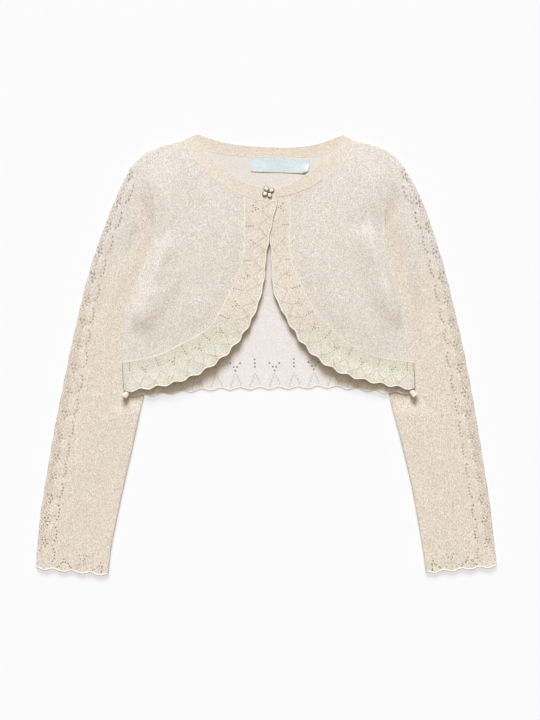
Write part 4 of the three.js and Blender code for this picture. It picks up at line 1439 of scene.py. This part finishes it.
def metalMaterial(name):
    # Cast zinc with an antique silver finish, mottled dark and bright
    material = newMaterial(name)
    place = addNode(material, "ShaderNodeTexCoord").outputs["Object"]
    noise = addNode(material, "ShaderNodeTexNoise", {"Scale": 900, "Detail": 3}, {"Vector": place})
    mottle = noise.outputs[0]
    colour = ramp(material, mottle, [(0.35, linear("#4d463c")), (0.65, linear("#8b8272"))])
    bump = addNode(material, "ShaderNodeBump", {"Strength": 0.2, "Distance": 0.0001}, {"Height": mottle})
    shader = addNode(
        material, "ShaderNodeBsdfPrincipled", {"Metallic": 1, "Roughness": 0.38},
        {"Base Color": colour, "Normal": bump.outputs[0]},
    )
    addNode(material, "ShaderNodeOutputMaterial", links={0: shader.outputs[0]})
    return material


def stoneMaterial(name):
    # Clear resin over a pearly back: creamy, glassy on top, with soft light inside
    material = newMaterial(name)
    place = addNode(material, "ShaderNodeTexCoord").outputs["Object"]
    noise = addNode(material, "ShaderNodeTexNoise", {"Scale": 500, "Detail": 2}, {"Vector": place})
    colour = ramp(material, noise.outputs[0], [(0.35, linear("#d9cfba")), (0.65, linear("#f4efe4"))])
    shader = addNode(
        material, "ShaderNodeBsdfPrincipled",
        {"Roughness": 0.12, "IOR": 1.5, "Coat Weight": 1, "Coat Roughness": 0.03, "Subsurface Weight": 0.2,
         "Subsurface Radius": (0.001, 0.001, 0.001)},
        {"Base Color": colour},
    )
    addNode(material, "ShaderNodeOutputMaterial", links={0: shader.outputs[0]})
    return material


def applyPlace(piece):
    selectOnly(piece)
    bpy.ops.object.transform_apply(location=True, rotation=True, scale=True)


def copyTo(piece, name, petal):
    # a copy with its own mesh, turned to its petal
    copied = piece.copy()
    copied.data = piece.data.copy()
    copied.name = name
    bpy.context.scene.collection.objects.link(copied)
    copied.rotation_euler.z = math.atan2(petal[1], petal[0])
    spot = Vector((button["x"] + petal[0], button["y"] + petal[1], button["seat"]))
    copied.location = world(spot)
    applyPlace(copied)
    return copied


def openTop(piece):
    bpy.ops.object.mode_set(mode="EDIT")
    bpy.ops.mesh.select_mode(type="FACE")
    bpy.ops.mesh.select_all(action="DESELECT")
    shape = bmesh.from_edit_mesh(piece.data)
    for face in shape.faces:
        face.select_set(face.normal.z > 0.9)
    bmesh.update_edit_mesh(piece.data)


# One oval cup: a disc with its top inset, sunk and its rim rounded
bpy.ops.object.select_all(action="DESELECT")
bpy.ops.mesh.primitive_cylinder_add(
    vertices=40, radius=1 * mm, depth=button["height"] * mm, location=(0, 0, button["height"] / 2 * mm)
)
cup = bpy.context.active_object
cup.scale = (button["along"], button["across"], 1)
applyPlace(cup)
openTop(cup)
bpy.ops.mesh.inset(thickness=button["rim"] * mm)
bpy.ops.mesh.extrude_region_move(
    TRANSFORM_OT_translate={"value": (0, 0, (button["floor"] - button["height"]) * mm)}
)
bpy.ops.object.mode_set(mode="OBJECT")
applyModifier(cup, "BEVEL", {"width": 0.2 * mm, "segments": 3, "limit_method": "ANGLE"})

# One stone: the upper half of a ball, flattened
bpy.ops.object.select_all(action="DESELECT")
bpy.ops.mesh.primitive_uv_sphere_add(segments=32, ring_count=16, radius=1 * mm)
stone = bpy.context.active_object
stone.scale = (button["along"] - button["rim"], button["across"] - button["rim"], button["dome"])
applyPlace(stone)
bpy.ops.object.mode_set(mode="EDIT")
bpy.ops.mesh.select_all(action="SELECT")
bpy.ops.mesh.bisect(plane_co=(0, 0, 0), plane_no=(0, 0, 1), clear_inner=True, use_fill=True)
bpy.ops.mesh.select_all(action="SELECT")
bpy.ops.transform.translate(value=(0, 0, (button["floor"] + button["bed"]) * mm))
bpy.ops.object.mode_set(mode="OBJECT")

bpy.ops.object.select_all(action="DESELECT")
bpy.ops.mesh.primitive_cylinder_add(
    vertices=32, radius=button["hub"] * mm, depth=button["floor"] * mm,
    location=world(Vector((button["x"], button["y"], button["seat"] + button["floor"] / 2))),
)
hub = bpy.context.active_object
applyPlace(hub)
applyModifier(hub, "BEVEL", {"width": 0.15 * mm, "segments": 2, "limit_method": "ANGLE"})

cups = [copyTo(cup, "cup" + str(k + 1), petal) for k, petal in enumerate(button["petals"])]
stones = [copyTo(stone, "resinStone" + str(k + 1), petal) for k, petal in enumerate(button["petals"])]
bpy.data.objects.remove(cup)
bpy.data.objects.remove(stone)
bpy.ops.object.select_all(action="DESELECT")
for piece in cups:
    piece.select_set(True)
hub.select_set(True)
bpy.context.view_layer.objects.active = hub
bpy.ops.object.join()
hub.name = "antiqueSilverFlower"
finishPiece(hub, metalMaterial("antiqueSilver"), "button_setting")
glassy = stoneMaterial("creamResin")
for k, piece in enumerate(stones):
    finishPiece(piece, glassy, "button_stone_" + str(k + 1))
print("button")

# Floor, light and camera
studio = {
    "floorDown": 0.6,
    "paperGlow": 0.628,
    "room": "#ffeac8",
    "roomStrength": 0.24,
    # where each bank stands, how wide it looks in degrees, its strength and colour
    "banks": {
        "topBank": ((-0.08, 1.0, 0.92), 26, 3.835, "#eef5ff"),
        "overheadBank": ((0.0, 0.2, 1.0), 50, 0.75, "#fff0d4"),
    },
    "lens": 100,
    "cameraAt": (4.07, -5.17, 2206),
}
bpy.ops.object.select_all(action="DESELECT")
bpy.ops.mesh.primitive_plane_add(size=6, location=(0, 0, -studio["floorDown"] * mm))
floor = bpy.context.active_object
floor.name = "paleFloor"
paper = newMaterial("litWhitePaper")  # white paper on a light table, so its shadows are faint
paperShader = addNode(
    paper, "ShaderNodeBsdfPrincipled",
    {"Base Color": linear("#959595"), "Roughness": 0.9, "IOR": 1.45,
     "Emission Strength": studio["paperGlow"], "Emission Color": linear("#fbfbff")},
)
addNode(paper, "ShaderNodeOutputMaterial", links={0: paperShader.outputs[0]})
floor.data.materials.append(paper)

sky = bpy.context.scene.world or bpy.data.worlds.new("softRoom")
bpy.context.scene.world = sky
sky.use_nodes = True
background = sky.node_tree.nodes["Background"]
background.inputs["Color"].default_value = linear(studio["room"])
background.inputs["Strength"].default_value = studio["roomStrength"]

# far soft banks, even over the whole jacket
for name, (place, spread, strength, colour) in studio["banks"].items():
    lamp = bpy.data.lights.new(name, "SUN")
    lamp.angle = math.radians(spread)
    lamp.energy = strength
    lamp.color = linear(colour)[:3]
    holder = bpy.data.objects.new(name, lamp)
    holder.rotation_euler = (-Vector(place)).to_track_quat("-Z", "Y").to_euler()
    bpy.context.scene.collection.objects.link(holder)

camera = bpy.data.cameras.new("overhead")
camera.lens = studio["lens"]
camera.sensor_fit = "VERTICAL"
camera.sensor_height = 36
viewer = bpy.data.objects.new("overhead", camera)
viewer.location = world(Vector(studio["cameraAt"]))
bpy.context.scene.collection.objects.link(viewer)
bpy.context.scene.camera = viewer
bpy.context.scene.view_settings.view_transform = "Standard"
